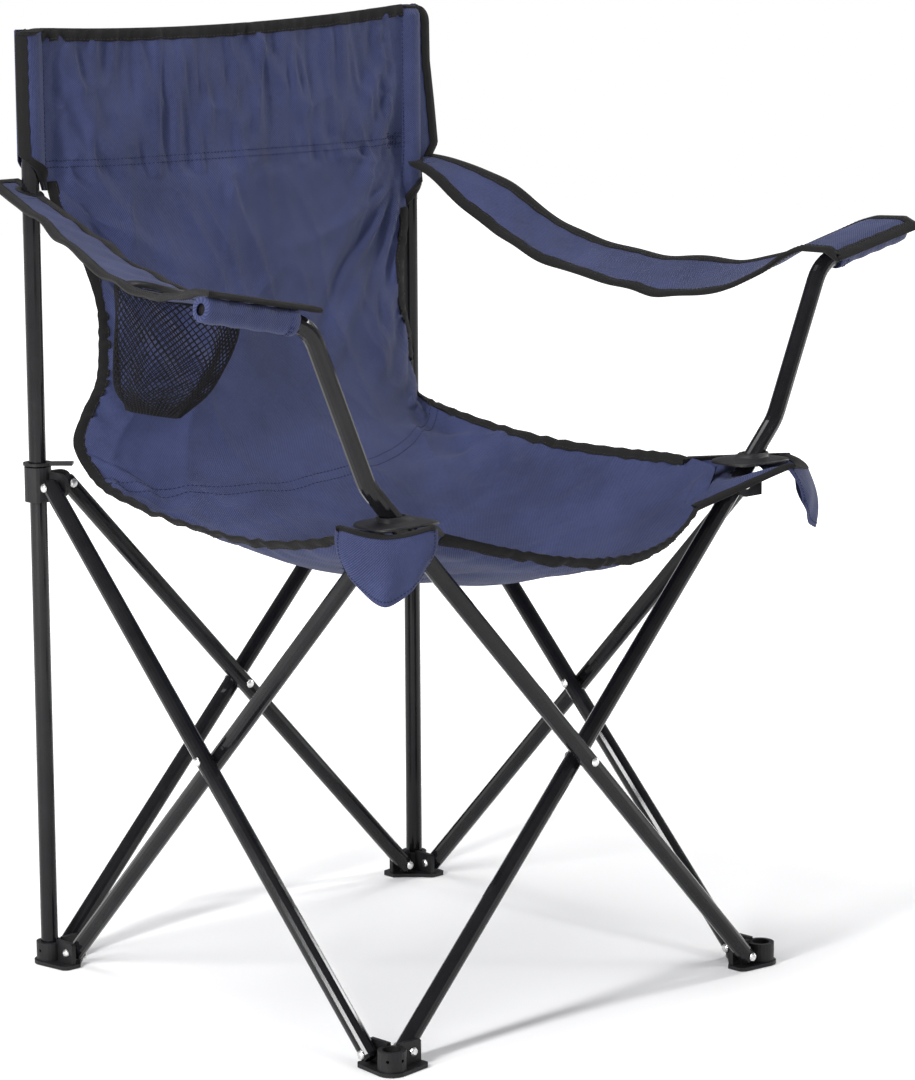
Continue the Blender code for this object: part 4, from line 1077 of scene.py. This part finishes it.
def build_cup_holder(at, cup):
    rim = ring_on_sheet("cup_rim_cloth", at, -1, cup, CUP_R, RING_W, PLASTIC, ARM_T)
    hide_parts("cup_rim")
    centre = armrest_point(-1, CUP_U, 0)
    rings = smooth_stations(NET_RINGS, np.linspace(0, 1, NET_ROWS + 1))
    bm = bmesh.new()
    verts = []
    for k, (depth, half_x, half_y, shift, follow) in enumerate(rings):
        t = k / NET_ROWS
        row = []
        for i in range(NET_COLUMNS):
            angle = 2 * math.pi * (i + 0.5 * (k % 2)) / NET_COLUMNS
            pleat = 1 + (0.02 + 0.09 * t * (1 - t * 0.5)) * math.sin(7 * angle + 1.2 + 2.2 * t)
            x, y = half_x * math.cos(angle) * pleat, shift + half_y * math.sin(angle) * pleat
            surface, _ = at(*share_at(-1, cup[0] + x, cup[1] + y))
            row.append(bm.verts.new((cup[0] + x, cup[1] + y,
                                     centre[2] + follow * (surface[2] - centre[2]) - depth)))
        verts.append(row)
    for k in range(NET_ROWS - 1):
        odd = k % 2
        for i in range(NET_COLUMNS):
            j = (i + 1) % NET_COLUMNS
            n = (i + odd) % NET_COLUMNS
            low = (i - 1 + odd) % NET_COLUMNS
            bm.faces.new((verts[k][i], verts[k + 1][low], verts[k + 2][i], verts[k + 1][n]))
            if k == 0:
                bm.faces.new((verts[0][i], verts[1][n], verts[0][j]))
            elif k == NET_ROWS - 2:
                bm.faces.new((verts[k + 2][i], verts[k + 2][j], verts[k + 1][n]))
    shell = placed("net", mesh_from(bm, "net"))
    wire = shell.modifiers.new("yarn", "WIREFRAME")
    wire.thickness = 0.0013
    wire.use_replace = True
    wire.use_even_offset = False
    wire.use_boundary = True
    seen = shell.evaluated_get(bpy.context.evaluated_depsgraph_get())
    yarn = bpy.data.meshes.new_from_object(seen)
    bpy.data.objects.remove(shell, do_unlink=True)
    yarn.materials.clear()
    yarn.uv_layers.new(name="UVMap")
    net = new_piece("cup_net", yarn, NET)
    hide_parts("cup_pocket")
    return [rim, net]


# Cloth sleeves under the armrests' front hems, on the arm posts

def build_arm_sleeve(side, name):
    axis = np.array((side * math.sin(ARM_TOP_LEAN), 0, math.cos(ARM_TOP_LEAN)))
    up = np.array((-side * math.cos(ARM_TOP_LEAN), 0, math.sin(ARM_TOP_LEAN)))
    fore = np.array((0.0, -1.0, 0.0))
    origin = np.array((side * ARM_CORNER[0], MID_Y - ARM_PLANE[side], ARM_CORNER[1]))
    rings = []
    stations = [(0.018, 0.0), (0.0185, 0.0007), (0.022, 0.0010), (0.026, 0.0008), (0.0275, 0.0002)]
    stations += [(a, 0.0004 * math.sin(a * 260)) for a in np.linspace(0.030, 0.113, 24)]
    stations += [(0.1145, -0.0012), (0.1152, -0.0045)]
    sides = 36
    for place, swell in stations:
        outer, inner = [], []
        for k in range(sides):
            angle = 2 * math.pi * k / sides
            c, h = math.cos(angle), math.sin(angle)
            radius = SLEEVE_R + swell
            spread = max(0.0, h) ** 1.5
            outer.append(origin + axis * place + fore * c * radius * (1 + 0.35 * spread)
                         + up * min(h * radius, 0.0106))
            clear = min(0.0084, radius - 0.0010)
            inner.append(origin + axis * (place - (0.0008 if place > 0.114 else 0))
                         + (fore * c + up * h) * clear)
        rings.append((outer, inner))
    skin = [ring for ring, _ in rings] + [ring for _, ring in reversed(rings)]
    piece = cloth_piece(f"arm_sleeve_cloth_{name}", swept_mesh(name, skin + [skin[0]], False), NAVY)
    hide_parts(f"arm_sleeve_{name}")
    lines = []
    for place in (0.0265, 0.0240):
        angles = np.linspace(0, 2 * math.pi, 40)
        ns = np.array([fore * math.cos(a) + up * math.sin(a) for a in angles])
        lines.append((origin + axis * place + ns * (SLEEVE_R + 0.0009), ns))
    stitches = cloth_piece(f"arm_sleeve_stitches_{name}", stitch_mesh(name, lines), THREAD_NAVY)
    for obj in (piece, stitches):
        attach(obj, f"arm_post_{name}")


# Corner plates and the cloth tongues below them

PLATE_HALF = (0.0335, 0.0265)
PLATE_RISE = 0.020
PLATE_HOLE = TUBE_R + 0.0006


def plate_outline(angle, half):
    """A rounded rectangle in polar form."""
    c, s = abs(math.cos(angle)), abs(math.sin(angle))
    return ((c / half[0]) ** 4 + (s / half[1]) ** 4) ** -0.25


def build_corner_plate(side, name):
    centre = np.array((side * (PIVOT + PLATE_RISE * math.tan(LEAN)), MID_Y - ARM_PLANE[side],
                       HUB_Z + PLATE_RISE))
    top, low = [], []
    shares = (0.0, 0.001, 0.06, 0.14, 0.20, 0.24, 0.30, 0.45, 0.60, 0.75, 0.88, 0.97, 1.0)
    lifts = (0.0022, 0.0050, 0.0064, 0.0060, 0.0036, 0.0023, 0.0022, 0.0022, 0.0022, 0.0022, 0.0022,
             0.0020, 0.0012)
    sides = 64
    for share, lift in zip(shares, lifts):
        ring_top, ring_low = [], []
        for k in range(sides):
            angle = 2 * math.pi * k / sides
            hole = PLATE_HOLE / math.hypot(math.cos(angle) * math.cos(LEAN), math.sin(angle))
            reach = hole + (plate_outline(angle, PLATE_HALF) - hole) * share
            x, y = reach * math.cos(angle), reach * math.sin(angle)
            bow = -0.0022 * (max(0.0, abs(x) - 0.014) / 0.0195) ** 2
            bow -= 0.0012 * (max(0.0, abs(y) - 0.013) / 0.0135) ** 2
            shift = side * lift * math.tan(LEAN) * (1 - share) ** 2
            ring_top.append(centre + np.array((x + shift, y, lift + bow)))
            ring_low.append(centre + np.array((x, y, bow + 0.0001)))
        top.append(ring_top)
        low.append(ring_low)
    rings = top + list(reversed(low))
    piece = new_piece(f"corner_plate_moulded_{name}",
                      swept_mesh(name, rings + [rings[0]], False), PLASTIC)
    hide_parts(f"corner_plate_{name}")
    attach(piece, f"arm_post_{name}")


FLAP_TOP = HUB_Z + 0.0160
FLAP_DROP = 0.058
FLAP_R = 0.0525
FLAP_SPREAD = math.radians(52)
YOKE_SIDE = -CORNER + 0.085     # where the seat's side edges start to flare to its corners
YOKE_FRONT = CORNER - 0.080     # and its front edge


def flap_point(side, s, t):
    """A tongue wraps the corner's diagonal: s from -1 to 1 round it, t from its top to its tip."""
    facing = math.radians(-90 + side * 45)
    angle = facing + FLAP_SPREAD * s * (1 - 0.30 * t)
    drop = FLAP_DROP * (1 - 0.52 * abs(s) ** 1.7) * t
    radius = (FLAP_R + 0.006 * math.sin(math.pi * t) + 0.004 * t * t
              + 0.0035 * math.exp(-(s / 0.16) ** 2) * t + 0.0012 * math.sin(9 * s + 3 * t) * t)
    sag = 0.0025 * math.cos(math.pi * s) * (1 - t)
    return np.array((side * (CORNER - 0.010) + radius * math.cos(angle),
                     MID_Y - CORNER + 0.010 + radius * math.sin(angle), FLAP_TOP - drop - sag))


def build_corner_cloth(side, seat, seat_n, side_end, across):
    """The seat's corner where it flares out under the plate, and the tongue that hangs from it."""
    name = "left" if side < 0 else "right"
    column = 5 if side < 0 else seat.shape[1] - 6
    edge = 0 if side < 0 else seat.shape[1] - 1
    stop = across[0] if side < 0 else across[-1]
    row = seat.shape[0] - 6
    step = 1 if side < 0 else -1
    inner = [seat[j, column] for j in range(side_end, row)]
    inner += [seat[row, i] for i in range(column, stop, step)]
    inner = np.array(inner) + np.array((0, 0, 0.0005))
    arc = [flap_point(side, side * s, 0) for s in np.linspace(1, -1, 17)]
    outer = np.array([seat[side_end, edge], *arc, seat[-1, stop]])
    count, steps = 72, 18

    def resampled(points):
        lengths = run_lengths(points)
        places = np.linspace(0, lengths[-1], count + 1)
        return np.stack([np.interp(places, lengths, points[:, k]) for k in range(3)], -1)

    inner, outer = resampled(inner), resampled(smooth_stations(outer, np.linspace(0, 1, 90)))
    t = np.linspace(0, 1, steps + 1)[:, None, None]
    grid = inner[None] * (1 - t) + outer[None] * t
    ease = (t * t * (3 - 2 * t))[:, :, 0]
    grid[:, :, 2] = inner[None, :, 2] * (1 - ease) + outer[None, :, 2] * ease
    if surface_normals(grid)[:, :, 2].mean() < 0:
        grid = grid[:, ::-1]
    normals = surface_normals(grid)
    through = np.array((side * (PIVOT + 0.013 * math.tan(LEAN)), MID_Y - ARM_PLANE[side]))
    gap = np.linalg.norm(grid[:-1, :-1, :2] - through, axis=2) < 0.0125
    yoke = cloth_piece(f"corner_yoke_{name}",
                     sheet_mesh(name, grid, normals, CLOTH_T, hole=lambda j, i: gap[j, i]), NAVY)
    binding = cloth_piece(f"corner_binding_{name}",
                        binding_mesh(name, *edge_run(grid, normals, "end"), CLOTH_T + 0.0008), TAPE)
    flap = np.array([[flap_point(side, s, t) for s in np.linspace(-1, 1, 49)]
                     for t in np.linspace(0, 1, 27)])
    flap_n = surface_normals(flap)
    outward = np.array((side, -1.0, 0.0))
    if (flap_n[13, 24] * outward).sum() < 0:
        flap = flap[:, ::-1]
        flap_n = surface_normals(flap)
    tongue = cloth_piece(f"corner_flap_cloth_{name}", sheet_mesh(name, flap, flap_n, CLOTH_T), NAVY)
    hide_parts(f"corner_flap_{name}")
    left, low, right = (edge_run(flap, flap_n, e) for e in ("left", "end", "right"))
    points, inwards, ns = joined_runs([left, low, reversed_run(right)])
    border = [(points + inwards * 0.0042 + ns * CLOTH_T / 2, ns)]
    stitches = cloth_piece(f"corner_flap_stitches_{name}",
                           stitch_mesh(name, border, 0.0032, 0.0022), THREAD_NAVY)
    for obj in (yoke, binding, tongue, stitches):
        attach(obj, f"hub_{name}")
    declare(grid, (f"hub_{name}",))
    declare(flap, (f"hub_{name}",))


def build_all():
    build_sling()
    for side, name in ((-1, "left"), (1, "right")):
        build_post_sleeve(side, name)
        build_armrest(side, name)
        build_arm_sleeve(side, name)
        build_corner_plate(side, name)


# Finish of the hard pieces

def dress_frame():
    for name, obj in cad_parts.items():
        if name.startswith(("leg_", "arm_post", "rear_post")):
            finish = COAT
        elif name.startswith("rivet"):
            finish = ZINC
        else:
            finish = PLASTIC
        obj.material_slots[0].material = finish


# Stage

FLOOR_GAP = 0.0005


def studio():
    world = SCENE.world or bpy.data.worlds.new("studio")
    SCENE.world = world
    world.use_nodes = True
    back = world.node_tree.nodes["Background"]
    back.inputs["Strength"].default_value = 1.0
    sky = Nodes(world)
    way = sky.new("ShaderNodeTexCoord").outputs["Generated"]
    height = sky.new("ShaderNodeSeparateXYZ")
    sky.link(way, height.inputs["Vector"])
    level = sky.math("ADD", height.outputs["Z"], 0.5)
    sky.link(sky.ramp(level, ((0.50, (1.0, 1.0, 1.0)), (0.53, (0.42, 0.42, 0.43)),
                              (0.80, (0.30, 0.30, 0.31)))), back.inputs["Color"])
    bm = bmesh.new()
    bmesh.ops.create_grid(bm, x_segments=1, y_segments=1, size=6.0)
    mesh = mesh_from(bm, "floor")
    floor = placed("floor", mesh)
    floor.location.z = -FLOOR_GAP
    mat, shader = shader_material("pale_floor", (0.86, 0.86, 0.86), 0.9)
    nodes = Nodes(mat)
    speck = nodes.noise(nodes.coordinates("Object"), 3.0, 2.0)
    nodes.link(nodes.ramp(speck, ((0.3, (0.85, 0.85, 0.85)), (0.7, (0.88, 0.88, 0.88)))),
               shader.inputs["Base Color"])
    # Painted light: the floor glows. Its emission rises from 0.1 within half a metre of the chair to full
    # white beyond 2.4 m, which lightens the shadows under the chair and fades the floor into the white
    # backdrop.
    far = nodes.new("ShaderNodeVectorMath", operation="LENGTH")
    nodes.link(nodes.coordinates("Object"), far.inputs[0])
    shader.inputs["Emission Color"].default_value = (1.0, 1.0, 1.0, 1.0)
    nodes.link(nodes.range(far.outputs["Value"], 0.10, 1.0, (0.5, 2.4)),
               shader.inputs["Emission Strength"])
    mesh.materials.append(mat)
    lamps = (("key", (-2.7, -0.4, 1.7), (0.34, 2.4), 110),
             ("strip", (0.5, -3.3, 1.2), (0.14, 2.2), 18),
             ("fill", (2.8, -0.6, 1.3), (0.24, 2.2), 40),
             ("top", (-0.2, 0.3, 3.0), (1.4, 1.4), 50))
    for name, place, size, power in lamps:
        light = bpy.data.lights.new(name, "AREA")
        light.shape = "RECTANGLE"
        light.size, light.size_y = size
        light.energy = power
        lamp = placed(name, light)
        lamp.location = place
        aim = Vector((0, 0, 0.45)) - Vector(place)
        lamp.rotation_euler = aim.to_track_quat("-Z", "Y").to_euler()


def camera():
    """A long lens a little above the seat, in front of the chair's left corner."""
    azimuth, elevation, roll = (math.radians(a) for a in (-43.09, 10.32, -0.46))
    distance = 3.48666
    target = Vector((0, MID_Y, 0.384))
    back = Vector((math.sin(azimuth) * math.cos(elevation),
                   -math.cos(azimuth) * math.cos(elevation), math.sin(elevation)))
    right = Vector((math.cos(azimuth), math.sin(azimuth), 0))
    up = back.cross(right)
    turned_right = math.cos(roll) * right + math.sin(roll) * up
    turned_up = -math.sin(roll) * right + math.cos(roll) * up
    lens = bpy.data.cameras.new("camera")
    lens.sensor_width = 36.0
    lens.lens = 126.68
    lens.shift_x = 0.0524
    lens.shift_y = 0.0167
    lens.clip_end = 60
    cam = placed("camera", lens)
    axes = Matrix((turned_right, turned_up, back)).transposed().to_4x4()
    cam.matrix_world = Matrix.Translation(target + back * distance) @ axes
    SCENE.camera = cam


camera()
dress_frame()
build_all()
studio()
SCENE.view_settings.view_transform = "Standard"
